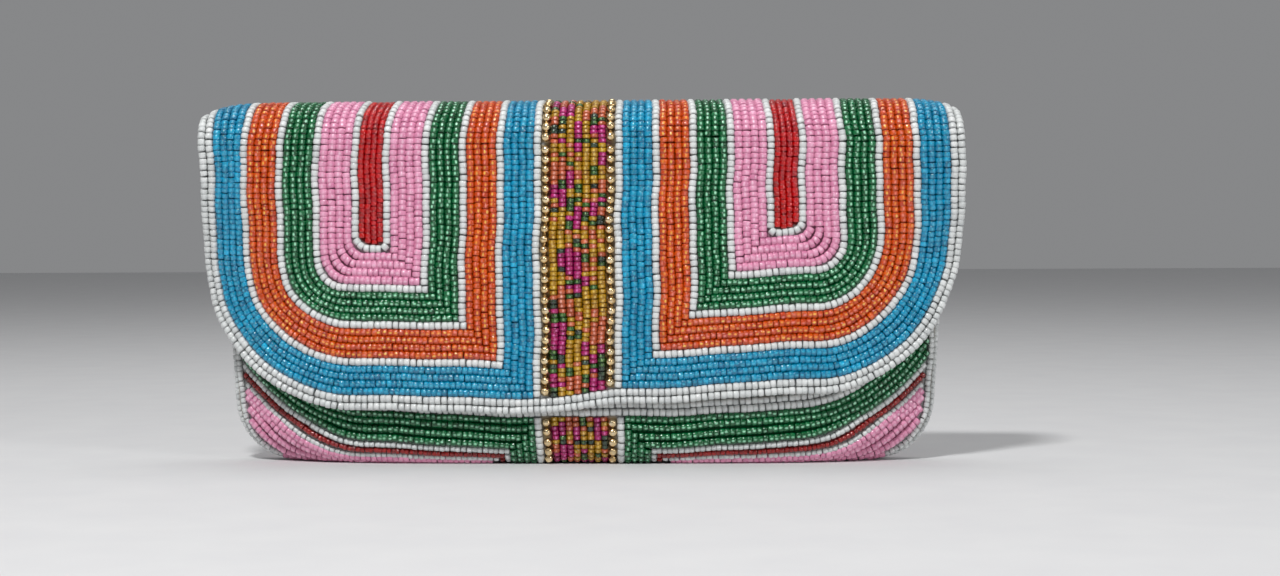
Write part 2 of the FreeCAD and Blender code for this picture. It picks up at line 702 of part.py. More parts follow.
socket = disc(SNAP_R, Y_F - CUP_T, Y_F - 0.02)
socket = socket.cut(disc(RECESS_R, Y_F - CUP_T - 0.1, Y_F - CUP_T + RECESS_D))
rim = [e for e in socket.Edges if e.Curve.TypeId == "Part::GeomCircle" and abs(e.Curve.Radius - SNAP_R) < 1e-6
       and abs(e.Curve.Center.y - (Y_F - CUP_T)) < 1e-6]
socket = socket.makeFillet(0.5, rim)
magnet_cut = disc(SNAP_R - 1.3, Y_F - 0.95, Y_F - 0.02).cut(disc(RECESS_R + 0.35, Y_F - 2, Y_F + 1))
keep("snap_socket_cup", socket.cut(magnet_cut))
keep("snap_socket_magnet", disc(SNAP_R - 1.35, Y_F - 0.93, Y_F - 0.04).cut(disc(RECESS_R + 0.4, Y_F - 2, Y_F + 1)))
for board, node, y in (("front_board", "snap_socket_washer", Y_F), ("flap_board", "snap_stud_washer", Y_L - D3)):
    hole = disc(6.4, y - 1, y + 3)
    NODES[board] = [b.cut(hole) for b in NODES[board]]
    keep(node, disc(6.0, y + D1 + 0.12, y + D2 - 0.12).cut(disc(2.0, y, y + 3)))

cap = disc(SNAP_R, Y_L + 0.02, Y_L + CAP_T)
rim = [e for e in cap.Edges if e.Curve.TypeId == "Part::GeomCircle" and abs(e.Curve.Center.y - (Y_L + CAP_T)) < 1e-6]
cap = cap.makeFillet(0.4, rim)
post = disc(POST_R, Y_L + CAP_T - 0.01, Y_L + CAP_T + POST_L)
rim = [e for e in post.Edges if e.Curve.TypeId == "Part::GeomCircle" and abs(e.Curve.Center.y - (Y_L + CAP_T + POST_L)) < 1e-6]
post = post.makeFillet(0.3, rim)
keep("snap_stud_cap", cap)
keep("snap_stud_post", disc(POST_R, Y_L + CAP_T, Y_L + CAP_T + POST_L).common(post))

write_all()
lo = [1e9] * 3
hi = [-1e9] * 3
for solids in NODES.values():
    for s in solids:
        b = s.BoundBox
        lo = [min(lo[0], b.XMin), min(lo[1], b.YMin), min(lo[2], b.ZMin)]
        hi = [max(hi[0], b.XMax), max(hi[1], b.YMax), max(hi[2], b.ZMax)]
print(len(NODES), "nodes", [round(v, 2) for v in lo], [round(v, 2) for v in hi])
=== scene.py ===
import math
import bpy
import numpy as np
from mathutils import Matrix, Vector
from mathutils.kdtree import KDTree


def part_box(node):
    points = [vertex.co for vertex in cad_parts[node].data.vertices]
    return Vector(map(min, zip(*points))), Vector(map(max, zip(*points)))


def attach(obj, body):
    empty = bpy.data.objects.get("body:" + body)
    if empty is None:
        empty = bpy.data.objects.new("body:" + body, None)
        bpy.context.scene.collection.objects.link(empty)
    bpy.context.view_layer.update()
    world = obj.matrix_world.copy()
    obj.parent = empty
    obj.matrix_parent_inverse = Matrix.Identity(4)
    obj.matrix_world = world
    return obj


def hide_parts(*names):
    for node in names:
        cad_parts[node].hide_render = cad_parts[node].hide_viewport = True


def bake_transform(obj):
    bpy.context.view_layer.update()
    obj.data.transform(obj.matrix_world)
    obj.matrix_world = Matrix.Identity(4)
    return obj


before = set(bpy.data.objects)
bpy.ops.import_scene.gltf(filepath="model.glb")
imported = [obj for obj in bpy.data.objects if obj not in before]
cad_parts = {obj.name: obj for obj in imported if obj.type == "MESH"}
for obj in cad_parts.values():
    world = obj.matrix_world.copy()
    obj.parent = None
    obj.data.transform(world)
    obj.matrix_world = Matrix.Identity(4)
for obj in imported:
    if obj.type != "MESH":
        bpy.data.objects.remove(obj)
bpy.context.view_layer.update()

rng = np.random.default_rng(11)
MM = 0.001

# ------------------------------------------------------------------ camera
cam_data = bpy.data.cameras.new("camera")
cam = bpy.data.objects.new("camera", cam_data)
bpy.context.scene.collection.objects.link(cam)
bpy.context.scene.camera = cam
CAM_AZ, CAM_EL, CAM_ROLL = 4.0, 1.5, -0.33
CAM_DIST, CAM_F = 750.0, 62.8
CAM_TARGET = np.array([0.0, -3.0, 61.0])
CAM_PX = (580.3, 280.9)


def place_camera():
    az, el = math.radians(CAM_AZ), math.radians(CAM_EL)
    back = Vector((math.sin(az) * math.cos(el), -math.cos(az) * math.cos(el), math.sin(el)))
    pos = Vector(CAM_TARGET) * MM + back * CAM_DIST * MM
    fpx = CAM_F / 36.0 * 1280.0
    right = Vector((math.cos(az), math.sin(az), 0))
    up = right.cross(-back)
    up = back.cross(right)
    # aim so that the target falls on CAM_PX: a pan and a tilt, no shift
    dx, dy = (CAM_PX[0] - 640.0) / fpx, -(CAM_PX[1] - 288.0) / fpx
    rot = Matrix((right, up, back)).transposed()
    turn = Matrix.Rotation(math.atan(dx), 3, "Y") @ Matrix.Rotation(-math.atan(dy), 3, "X")
    rot = rot @ turn @ Matrix.Rotation(math.radians(CAM_ROLL), 3, "Z")
    cam.matrix_world = Matrix.Translation(pos) @ rot.to_4x4()
    cam_data.sensor_width = 36.0
    cam_data.lens = CAM_F


place_camera()

# ------------------------------------------------- the purse's shape, in mm
Y0 = 2.31
BEAD_T, FABRIC_T, BOARD_T, LINING_T = 2.2, 0.6, 0.8, 0.4
R_FOLD, Z_FOLD, Z_MOUTH, Z_BASE = 12.8, 107.0, 103.0, 2.2
FLAP_HALF, FLAP_DROP, FLAP_CORNER = 128.0, 89.1, 50.0
BODY_HALF_LOW, BODY_HALF_TOP = 117.5, 123.0
CORNER_X, CORNER_Z = 18.0, 19.8
Y_SEAM_F, Y_SEAM_B = 3.4, 9.4
Y_BASE_F, Y_BASE_B = -7.5, 6.0
Z_ROUND_F, Z_ROUND_B = 14.2, 11.2
L_ROUND_F, L_ROUND_B = 14.0, 12.5
GAP_FLAP = 0.7
W_ROW, C_ROW, P_ROW = 2.55, 2.45, 2.65
BAND_HALF, U_OUT, Q_BOT, R_OUT = 14.8, 123.2, 84.3, 45.2
BANDS = [("blue", 4, C_ROW), ("white", 1, W_ROW), ("orange", 4, C_ROW), ("white", 1, W_ROW), ("green", 4, C_ROW),
         ("white", 1, W_ROW), ("pink", 4, P_ROW), ("white", 1, W_ROW), ("red", 1, C_ROW)]
SNAP_Z = 45.0
ARC = math.pi * R_FOLD
S_FRONT, S_BACK = Z_FOLD - Z_ROUND_F, Z_FOLD - Z_ROUND_B
Q_END_F, Q_END_B = S_FRONT + L_ROUND_F, S_BACK + L_ROUND_B


def smooth(t):
    t = np.clip(t, 0, 1)
    return t * t * (3 - 2 * t)


def stack(x, y, z):
    x, y, z = np.broadcast_arrays(x, y, z)
    return np.stack([x, y, z], -1).astype(float)


def flap_y(x, s):
    a = np.minimum(np.abs(x) / 127.0, 1.03)
    return -R_FOLD - 4.5 * smooth(s / 55.0) * (1 - a ** 2.2) + 11.0 * smooth(s / 45.0) * a ** 5


def across(u, s):
    return u - np.sign(u) * 1.2 * smooth(s / 45.0) * np.abs(u / 127.0) ** 9


def droop(u, q):
    step = 2.8 * smooth((u + 12.0) / 26.0) + 1.9 * smooth((u - 5.0) / 65.0)
    return q - 2.4 * (u / 100.0) ** 2 * np.minimum(1.0, q / 60.0) - step * np.minimum(1.0, q / 35.0)


EDGE_Z = [62, 71, 79, 87, 95, 103, 107, 111, 115, 119, 124]
EDGE_D = [0, 0.2, 0.5, 1.3, 1.7, 1.6, 1.1, 0.7, 0.1, -0.5, -0.7]
LEAN_U = [-130, -114, -102, -76, -62, -50, -38, -26, -12, 0, 70, 85, 100, 114, 123, 130]
LEAN_D = [1.2, 1.2, 1.2, 1.3, 1.3, 1.2, 1.0, 0.6, 0.1, 0, 0, 0, 0, 0, -0.2, -0.6]


def lean(u, z):
    """The rows lean towards the middle where they come over the fold, more on the left."""
    edge = smooth((-np.asarray(u, float) - 108.0) / 14.0)
    inner = np.interp(u, LEAN_U, LEAN_D) * np.clip((z - 95.0) / 26.0, 0, 1) ** 2
    return u + inner * (1 - edge) + np.interp(z, EDGE_Z, EDGE_D) * edge


def body_half(z):
    z = np.asarray(z, float)
    k = np.clip((22.0 - z) / CORNER_Z, 0, 1)
    return np.where(z >= 22.0, BODY_HALF_LOW + (BODY_HALF_TOP - BODY_HALF_LOW) * (z - 22.0) / 85.0,
                    BODY_HALF_LOW - CORNER_X * (1 - np.sqrt(np.maximum(0, 1 - k * k))))


def front_y(x, z):
    t = np.minimum(1.0, np.abs(x) / body_half(z))
    base = flap_y(x, Z_FOLD - z) + FABRIC_T + BOARD_T + LINING_T + GAP_FLAP + BEAD_T
    return base + (Y_SEAM_F - base) * t ** 8


Y_FRONT_LOW = float(front_y(0.0, Z_ROUND_F))
W_ROUND_F = float(body_half(Z_ROUND_F))


def shell(t, y, z, share, front):
    """Point of the pouch's outer cloth. front marks the flat part of the front wall."""
    x = t * body_half(z)
    a = np.abs(t)
    lens = (front_y(a * W_ROUND_F, Z_ROUND_F) - Y_SEAM_F) / (Y_FRONT_LOW - Y_SEAM_F)
    seam = Y_SEAM_F + (Y_SEAM_B - Y_SEAM_F) * share
    k = lens * (1 - share) + (1 - a ** 8) * share
    yy = np.where(front, front_y(x, z), seam + (y - seam) * k)
    return stack(x, yy, z)


def front_row(s):
    s = np.asarray(s, float)
    w = math.pi / 2 * np.clip((s - S_FRONT) / L_ROUND_F, 0, 1)
    wall = s <= S_FRONT
    y = Y_BASE_F - (Y_BASE_F - Y_FRONT_LOW) * np.cos(w)
    z = np.where(wall, Z_FOLD - s, Z_ROUND_F - (Z_ROUND_F - Z_BASE) * np.sin(w))
    return y, z, 0.35 * w / (math.pi / 2), wall


def back_row(s):
    s = np.asarray(s, float)
    w = math.pi / 2 * (1 - np.clip((s - S_BACK) / L_ROUND_B, 0, 1))
    wall = s <= S_BACK
    y = np.where(wall, R_FOLD, Y_BASE_B + (R_FOLD - Y_BASE_B) * np.sin(w))
    z = np.where(wall, Z_FOLD - s, Z_ROUND_B - (Z_ROUND_B - Z_BASE) * np.cos(w))
    share = np.where(wall, 1.0, 0.65 + 0.35 * w / (math.pi / 2))
    return y, z, share, np.zeros_like(wall)


def p_front(u, s):
    y, z, share, wall = front_row(s)
    return shell(np.clip(u / body_half(z), -1, 1), y, z, share, wall)


def p_back_flat(x, s):
    y, z, share, wall = back_row(s)
    return shell(np.clip(x / body_half(z), -1, 1), y, z, share, wall)


def back_x(u, s):
    return u / FLAP_HALF * body_half(np.maximum(22.0, back_row(s)[1]))


def p_back(u, q):
    s = q - 2.4 * (u / 100.0) ** 2 * np.minimum(1.0, q / 60.0)
    return p_back_flat(back_x(u, s), s)


def p_top(u, a):
    """Over the fold: a is the way along the arc from the front shoulder to the back."""
    phi = math.pi - a / R_FOLD
    t = u / FLAP_HALF
    c, s = np.cos(phi), np.sin(phi)
    half = BODY_HALF_TOP + (FLAP_HALF - BODY_HALF_TOP) * phi / math.pi
    y = R_FOLD * c - np.where(c > 0, (R_FOLD - Y_SEAM_B) * np.abs(t) ** 8 * c * c, 0)
    return stack(t * half, y, Z_FOLD + R_FOLD * s * (1 - 0.3 * np.abs(t) ** 24))


def p_flap(u, q):
    s = droop(u, q)
    u = lean(u, Z_FOLD - s)
    x = across(u, s)
    return stack(x, flap_y(x, s), Z_FOLD - s)


def p_top_lean(u, a):
    return p_top(lean(u, Z_FOLD + R_FOLD * np.sin(a / R_FOLD)), a)


def p_back_lean(u, q):
    return p_back(lean(u, Z_FOLD - q), q)


def base_edge_y(x, front):
    t = x / float(body_half(Z_BASE))
    y, z, share, wall = (front_row(Q_END_F + 1) if front else back_row(Q_END_B + 1))
    return shell(np.clip(t, -1, 1), y, z, share, wall)[..., 1]


def p_base(x, v):
    """Underside: v from 0 at the front edge to 1 at the back edge."""
    f, b = base_edge_y(x, True), base_edge_y(x, False)
    return stack(x, f + (b - f) * v, Z_BASE)


def normal(place, u, q, sign, e=0.06):
    n = np.cross(place(u + e, q) - place(u - e, q), place(u, q + e) - place(u, q - e))
    n /= np.maximum(1e-12, np.linalg.norm(n, axis=-1, keepdims=True))
    return n * sign


# ------------------------------------------------------------------ meshes
def make_mesh(name, co, groups, smooth_groups):
    """co in mm; groups is a list of index arrays, each (faces, corners)."""
    me = bpy.data.meshes.new(name)
    me.vertices.add(len(co))
    me.vertices.foreach_set("co", ((np.asarray(co) + [0, Y0, 0]) * MM).astype(np.float32).ravel())
    loops = np.concatenate([g.ravel() for g in groups]).astype(np.int32)
    totals = np.concatenate([np.full(len(g), g.shape[1]) for g in groups])
    starts = np.concatenate([[0], np.cumsum(totals)[:-1]]).astype(np.int32)
    me.loops.add(len(loops))
    me.loops.foreach_set("vertex_index", loops)
    me.polygons.add(len(totals))
    me.polygons.foreach_set("loop_start", starts)
    me.polygons.foreach_set("use_smooth", np.concatenate([np.full(len(g), s) for g, s in zip(groups, smooth_groups)]))
    me.update(calc_edges=True)
    ob = bpy.data.objects.new(name, me)
    bpy.context.scene.collection.objects.link(ob)
    return ob


def slab(name, outer, inner, wrap=True):
    """Closed thin piece between two grids of points (n, m, 3) in mm."""
    n, m = outer.shape[:2]
    co = np.concatenate([outer.reshape(-1, 3), inner.reshape(-1, 3)])
    idx = np.arange(n * m).reshape(n, m)
    top = np.stack([idx[:-1, :-1], idx[1:, :-1], idx[1:, 1:], idx[:-1, 1:]], -1).reshape(-1, 4)
    low = top[:, ::-1] + n * m
    k = n * m
    rims = []
    for line in (idx[0], idx[-1][::-1], idx[:, 0][::-1], idx[:, -1]):
        rims.append(np.stack([line[:-1], line[1:], line[1:] + k, line[:-1] + k], -1))
    ob = make_mesh(name, co, [top, low, np.concatenate(rims)], [True, True, False])
    me = ob.data
    import bmesh
    bm = bmesh.new()
    bm.from_mesh(me)
    bmesh.ops.recalc_face_normals(bm, faces=bm.faces)
    bm.to_mesh(me)
    bm.free()
    return ob


def srgb(*c):
    c = np.array(c, float) / 255.0
    return np.where(c <= 0.04045, c / 12.92, ((c + 0.055) / 1.055) ** 2.4)


# bead profiles: (place along the hole, radius)
ROUND = np.array([(-0.50, 0.70), (-0.44, 0.89), (-0.24, 0.985), (0.24, 0.985), (0.44, 0.89), (0.50, 0.70)])
BLOCK = np.array([(-0.50, 0.66), (-0.45, 0.90), (-0.22, 1.0), (0.22, 1.0), (0.45, 0.90), (0.50, 0.66)])
BALL = np.array([(-0.50, 0.22), (-0.46, 0.40), (-0.35, 0.71), (-0.19, 0.93), (0, 1.0), (0.19, 0.93), (0.35, 0.71), (0.46, 0.40), (0.50, 0.22)])
THREAD = np.array([(-0.50, 0.30), (-0.38, 0.85), (0, 1.0), (0.38, 0.85), (0.50, 0.30)])

PALETTE = {
    # mean, light, dark, the painted highlight (glint) on the bead's crest, its strength, streaks of random tone and
    # painted sparkle
    "blue": (srgb(0, 127, 165), srgb(4, 146, 186), srgb(0, 104, 142), srgb(70, 198, 228), 0.42, 0.12),
    "orange": (srgb(190, 64, 0), srgb(204, 82, 2), srgb(168, 46, 0), srgb(244, 156, 66), 0.70, 0.06),
    "green": (srgb(0, 85, 43), srgb(6, 101, 55), srgb(0, 66, 30), srgb(156, 226, 186), 0.78, 0.07),
    "pink": (srgb(215, 141, 172), srgb(225, 156, 186), srgb(203, 126, 160), srgb(248, 208, 226), 0.50, 0.03),
    "red": (srgb(170, 0, 0), srgb(188, 4, 2), srgb(144, 0, 0), srgb(204, 26, 16), 0.26, 0.10),
    # painted shade: a darker copy of red for the lower body's thin red strand
    "brick": (srgb(134, 6, 4), srgb(150, 12, 8), srgb(110, 2, 2), srgb(176, 36, 26), 0.24, 0.08),
    "white": (srgb(206, 209, 208), srgb(220, 222, 221), srgb(190, 193, 193), srgb(226, 229, 229), 0.30, 0.02),
    "gold": (srgb(226, 198, 150), srgb(240, 218, 178), srgb(200, 166, 114), srgb(250, 238, 208), 0.5, 0.03),
    "spacer": (srgb(150, 118, 74), srgb(170, 138, 92), srgb(124, 92, 52), srgb(170, 140, 96), 0.1, 0.05),
    "ochre": (srgb(156, 112, 2), srgb(174, 134, 8), srgb(134, 88, 0), srgb(238, 202, 104), 0.62, 0.08),
    "coral": (srgb(172, 76, 40), srgb(188, 98, 58), srgb(150, 58, 26), srgb(244, 172, 156), 0.66, 0.08),
    "magenta": (srgb(148, 8, 80), srgb(170, 24, 104), srgb(116, 2, 60), srgb(232, 112, 188), 0.62, 0.08),
    "leaf": (srgb(26, 64, 12), srgb(44, 90, 22), srgb(12, 44, 6), srgb(142, 180, 108), 0.50, 0.08),
    "moss": (srgb(26, 38, 26), srgb(42, 58, 40), srgb(14, 22, 16), srgb(96, 120, 96), 0.45, 0.08),
    "thread": (srgb(214, 200, 180), srgb(226, 214, 196), srgb(196, 182, 160), srgb(226, 214, 196), 0.1, 0.03),
}

PIECES = {}


def add_beads(piece, place, sign, uq, colour, d, length, pitch, profile=ROUND, rise=None, around=8, flat=1.0, jitter=1.0, pick=None, skip=None):
    """Strings beads along a path of (u, q) points on a surface."""
    uq = np.asarray(uq, float)
    seg = np.linalg.norm(np.diff(uq, axis=0), axis=1)
    if seg.sum() < pitch * 0.6:
        return
    run = np.concatenate([[0], np.cumsum(seg)])
    n_fine = max(12, int(run[-1] / 0.5))
    fine = np.linspace(0, run[-1], n_fine)
    u, q = np.interp(fine, run, uq[:, 0]), np.interp(fine, run, uq[:, 1])
    h = (d / 2 * flat if rise is None else rise)
    p = place(u, q) + normal(place, u, q, sign) * h
    dist = np.concatenate([[0], np.cumsum(np.linalg.norm(np.diff(p, axis=0), axis=1))])
    n = max(1, int(round(dist[-1] / pitch)))
    at = (np.arange(n) + 0.5 + jitter * rng.uniform(-0.09, 0.09, n)) / n * dist[-1]
    f = np.interp(at, dist, fine)
    u, q = np.interp(f, run, uq[:, 0]), np.interp(f, run, uq[:, 1])
    e = 0.35
    u1, q1 = np.interp(np.minimum(f + e, run[-1]), run, uq[:, 0]), np.interp(np.minimum(f + e, run[-1]), run, uq[:, 1])
    u2, q2 = np.interp(np.maximum(f - e, 0), run, uq[:, 0]), np.interp(np.maximum(f - e, 0), run, uq[:, 1])
    nrm = normal(place, u, q, sign)
    t = place(u1, q1) - place(u2, q2)
    t -= nrm * (t * nrm).sum(-1, keepdims=True)
    t /= np.linalg.norm(t, axis=-1, keepdims=True)
    b = np.cross(nrm, t)
    c = place(u, q) + nrm * (h + jitter * rng.normal(0, 0.035, n))[:, None] + b * (jitter * rng.normal(0, 0.05, n))[:, None]
    # each bead leans a few degrees its own way
    a1, a2 = jitter * rng.normal(0, 0.055, n), jitter * rng.normal(0, 0.045, n)
    t2 = t + b * a1[:, None] + nrm * a2[:, None]
    t2 /= np.linalg.norm(t2, axis=-1, keepdims=True)
    b2 = np.cross(nrm, t2)
    b2 /= np.linalg.norm(b2, axis=-1, keepdims=True)
    n2 = np.cross(t2, b2)
    keep = np.ones(n, bool)
    if skip is not None:
        keep = ~skip(c)
    real_pitch = dist[-1] / n
    ln = length * real_pitch / pitch * rng.normal(1, 0.035 * jitter, n)
    dm = d * rng.normal(1, 0.025 * jitter, n)
    names = pick(u, q, c) if pick is not None else np.array([colour] * n)
    P = PIECES.setdefault(piece, [])
    P.append(dict(c=c[keep], t=t2[keep], b=b2[keep], n=n2[keep], l=ln[keep], d=dm[keep], flat=flat, names=names[keep],
                  profile=profile, around=around))


def bead_colours(names):
    base = np.zeros((len(names), 3))
    for k in np.unique(names):
        m = names == k
        mean, light, dark = PALETTE[k][:3]
        x = rng.normal(0, 0.42, m.sum())
        x = np.clip(x, -1, 1)[:, None]
        col = np.where(x > 0, mean + (light - mean) * x, mean + (dark - mean) * -x)
        base[m] = col
    return base


def build_beads(name, finish):
    """Joins a piece's beads into one mesh with a colour and a UV cell for each bead."""
    cos, cols, glints, locals_, groups_q, groups_c, uvq, uvc = [], [], [], [], [], [], [], []
    total = sum(len(s["c"]) for s in PIECES[name])
    cells = int(math.ceil(math.sqrt(total)))
    offset, count = 0, 0
    for s in PIECES[name]:
        prof, k = s["profile"], s["around"]
        n, r = len(s["c"]), len(prof)
        if n == 0:
            continue
        ang = 2 * math.pi * (np.arange(k) + 0.5) / k
        ring = np.stack([np.cos(ang), np.sin(ang)], -1)
        along = prof[:, 0][None, :, None] * s["l"][:, None, None]
        rad = prof[:, 1][None, :, None] * s["d"][:, None, None] / 2
        y = rad * ring[None, None, :, 0]
        z = rad * ring[None, None, :, 1] * s["flat"]
        co = (s["c"][:, None, None, :] + along[..., None] * s["t"][:, None, None, :]
              + y[..., None] * s["b"][:, None, None, :] + z[..., None] * s["n"][:, None, None, :])
        cos.append(co.reshape(-1, 3))
        base = bead_colours(s["names"])
        # painted shade: darker towards each bead's ends, where the beads meet
        painted_end_shade = np.interp(np.abs(prof[:, 0]), [0.0, 0.3, 0.44, 0.5], [1.02, 1.0, 0.94, 0.78])
        # painted light and shade: the bead's crest facing out 10% lighter, its side towards the cloth 10% darker
        side = 1.0 + 0.10 * np.sin(ang)
        # painted highlight: each bead's glint colour and strength, drawn by the material as a bright dash on the crest
        glint = np.array([PALETTE[k][3] for k in s["names"]])
        power = np.array([PALETTE[k][4] for k in s["names"]])
        streak = np.array([PALETTE[k][5] for k in s["names"]])
        # painted highlight colours of the orange beads: some glints yellow, some rose
        warm = rng.random(n)
        yellow_glint, rose_glint = srgb(246, 190, 84), srgb(240, 130, 110)
        is_orange = s["names"] == "orange"
        glint = np.where((is_orange & (warm > 0.62))[:, None], yellow_glint, glint)
        glint = np.where((is_orange & (warm < 0.28))[:, None], rose_glint, glint)
        c = base[:, None, None, :] * painted_end_shade[None, :, None, None] * side[None, None, :, None]
        # random tone and painted sparkle: lighter and darker streaks round each bead, strongest on the blue and red
        # glass
        c = c * np.exp(rng.normal(0, 1, (n, 1, k)) * streak[:, None, None] + rng.normal(0, 0.5, (n, r, k)) * streak[:, None, None])[..., None]
        # where on the bead a point lies, so that the material can draw the painted highlight on its crest
        w = np.clip(power * rng.uniform(0.55, 1.35, n), 0, 1)
        g4 = np.concatenate([glint, w[:, None]], -1)
        glints.append(np.broadcast_to(g4[:, None, None, :], (n, r, k, 4)).reshape(-1, 4))
        loc = np.zeros((n, r, k, 3))
        loc[..., 0] = prof[None, :, None, 0] - rng.normal(0, 0.06, n)[:, None, None]
        loc[..., 1] = np.cos(ang)[None, None, :] - rng.normal(0, 0.16, n)[:, None, None]
        loc[..., 2] = np.sin(ang)[None, None, :]
        locals_.append(loc.reshape(-1, 3))
        cols.append(np.concatenate([np.clip(c, 0, 1), np.ones(c.shape[:-1] + (1,))], -1).reshape(-1, 4))
        idx = np.arange(r * k).reshape(r, k)
        nxt = np.roll(idx, -1, axis=1)
        quad = np.stack([idx[:-1], nxt[:-1], nxt[1:], idx[1:]], -1).reshape(-1, 4)
        cap = np.stack([idx[0][::-1], idx[-1]])
        lift = offset + np.arange(n)[:, None, None] * (r * k)
        groups_q.append((quad[None] + lift).reshape(-1, 4))
        groups_c.append((cap[None] + lift).reshape(-1, k))
        # UV cell of each bead
        cell = count + np.arange(n)
        cx, cy = (cell % cells) / cells, (cell // cells) / cells
        jj = np.tile(np.arange(k), r - 1)
        ii = np.repeat(np.arange(r - 1), k)
        qu = np.stack([jj, jj + 1, jj + 1, jj], -1) / k
        qv = np.stack([ii, ii, ii + 1, ii + 1], -1) / (r - 1)
        m = 0.06
        qu, qv = m + qu * (1 - 2 * m), m + qv * (1 - 2 * m)
        uvq.append(np.stack([cx[:, None, None] + qu[None] / cells, cy[:, None, None] + qv[None] / cells], -1).reshape(-1, 2))
        cu = np.stack([(np.arange(k)[::-1] + 0.5) / k, (np.arange(k) + 0.5) / k])
        cv = np.stack([np.full(k, 0.0), np.full(k, 1.0)])
        cu, cv = m + cu * (1 - 2 * m), m + cv * (1 - 2 * m)
        uvc.append(np.stack([cx[:, None, None] + cu[None] / cells, cy[:, None, None] + cv[None] / cells], -1).reshape(-1, k, 2))
        offset += n * r * k
        count += n
    caps = {}
    for g, w in zip(groups_c, uvc):
        caps.setdefault(g.shape[1], []).append((g, w))
    groups, flags, uvs = [np.concatenate(groups_q)], [True], [np.concatenate(uvq)]
    for kk in caps:
        groups.append(np.concatenate([g for g, w in caps[kk]]))
        flags.append(False)
        uvs.append(np.concatenate([w.reshape(-1, 2) for g, w in caps[kk]]))
    ob = make_mesh(name, np.concatenate(cos), groups, flags)
    at = ob.data.attributes.new("bead", "FLOAT_COLOR", "POINT")
    at.data.foreach_set("color", np.concatenate(cols).astype(np.float32).ravel())
    at = ob.data.attributes.new("glint", "FLOAT_COLOR", "POINT")
    at.data.foreach_set("color", np.concatenate(glints).astype(np.float32).ravel())
    at = ob.data.attributes.new("local", "FLOAT_VECTOR", "POINT")
    at.data.foreach_set("vector", np.concatenate(locals_).astype(np.float32).ravel())
    uv = ob.data.uv_layers.new(name="OFBake")
    uv.data.foreach_set("uv", np.concatenate(uvs).astype(np.float32).ravel())
    ob.data.materials.append(BEAD_MATS[finish])
    return ob


# --------------------------------------------------------------- materials
def new_mat(name):
    mat = bpy.data.materials.new(name)
    mat.use_nodes = True
    nt = mat.node_tree
    nt.nodes.clear()
    out = nt.nodes.new("ShaderNodeOutputMaterial")
    bsdf = nt.nodes.new("ShaderNodeBsdfPrincipled")
    nt.links.new(bsdf.outputs[0], out.inputs[0])
    return mat, nt, bsdf


def node(nt, kind, **values):
    n = nt.nodes.new(kind)
    for k, v in values.items():
        if k in n.inputs.keys() if isinstance(k, str) else False:
            n.inputs[k].default_value = v
        else:
            setattr(n, k, v)
    return n


def bead_material(name, rough, coat, metallic=0.0, spec=0.5, speck=0.10, subsurface=0.0, radius=(1, 0.6, 0.4)):
    mat, nt, b = new_mat(name)
    att = node(nt, "ShaderNodeAttribute", attribute_name="bead")
    tex = node(nt, "ShaderNodeTexCoord")
    noise = node(nt, "ShaderNodeTexNoise")
    noise.inputs["Scale"].default_value = 900.0
    noise.inputs["Detail"].default_value = 2.0
    nt.links.new(tex.outputs["Object"], noise.inputs["Vector"])
    ramp = node(nt, "ShaderNodeMapRange")
    ramp.inputs["From Min"].default_value = 0.3
    ramp.inputs["From Max"].default_value = 0.7
    ramp.inputs["To Min"].default_value = 1.0 - speck
    ramp.inputs["To Max"].default_value = 1.0 + speck
    nt.links.new(noise.outputs["Fac"], ramp.inputs["Value"])
    mul = node(nt, "ShaderNodeVectorMath", operation="SCALE")
    nt.links.new(att.outputs["Color"], mul.inputs[0])
    nt.links.new(ramp.outputs["Result"], mul.inputs["Scale"])
    # painted highlight: a short bright dash along the bead's crest
    loc = node(nt, "ShaderNodeAttribute", attribute_name="local")
    glint = node(nt, "ShaderNodeAttribute", attribute_name="glint")
    sep = node(nt, "ShaderNodeSeparateXYZ")
    nt.links.new(loc.outputs["Vector"], sep.inputs[0])

    def math_node(op, a, b_):
        m = node(nt, "ShaderNodeMath", operation=op)
        for i, v in enumerate((a, b_)):
            if hasattr(v, "is_linked"):
                nt.links.new(v, m.inputs[i])
            else:
                m.inputs[i].default_value = v
        return m.outputs[0]
    x = math_node("DIVIDE", sep.outputs["X"], 0.36)
    y = math_node("DIVIDE", sep.outputs["Y"], 0.34)
    dd = math_node("ADD", math_node("MULTIPLY", x, x), math_node("MULTIPLY", y, y))
    mask = node(nt, "ShaderNodeMapRange")
    mask.inputs["From Min"].default_value = 1.0
    mask.inputs["From Max"].default_value = 0.15
    mask.inputs["To Min"].default_value = 0.0
    mask.inputs["To Max"].default_value = 1.0
    nt.links.new(dd, mask.inputs["Value"])
    up = math_node("GREATER_THAN", sep.outputs["Z"], 0.2)
    fac = math_node("MULTIPLY", math_node("MULTIPLY", mask.outputs["Result"], up), glint.outputs["Alpha"])
    mix = node(nt, "ShaderNodeMix", data_type="RGBA")
    nt.links.new(fac, mix.inputs[0])
    nt.links.new(mul.outputs["Vector"], mix.inputs[6])
    nt.links.new(glint.outputs["Color"], mix.inputs[7])
    nt.links.new(mix.outputs[2], b.inputs["Base Color"])
    b.inputs["Roughness"].default_value = rough
    b.inputs["Metallic"].default_value = metallic
    b.inputs["Specular IOR Level"].default_value = spec
    b.inputs["Coat Weight"].default_value = coat
    b.inputs["Coat Roughness"].default_value = 0.06
    if subsurface:
        b.inputs["Subsurface Weight"].default_value = subsurface
        b.inputs["Subsurface Scale"].default_value = 0.0008
        b.inputs["Subsurface Radius"].default_value = radius
    return mat


BEAD_MATS = {
    "glass": bead_material("bead_glass", 0.16, 0.8, spec=0.40, speck=0.16),
    "pearl": bead_material("bead_pearl", 0.24, 0.5, spec=0.40, speck=0.06),
    "opaque": bead_material("bead_opaque_white", 0.34, 0.2, spec=0.35, speck=0.05),
    "gold": bead_material("bead_gold", 0.22, 0.0, metallic=1.0, speck=0.10),
    "thread": bead_material("sewing_thread", 0.7, 0.0, spec=0.2, speck=0.15),
}


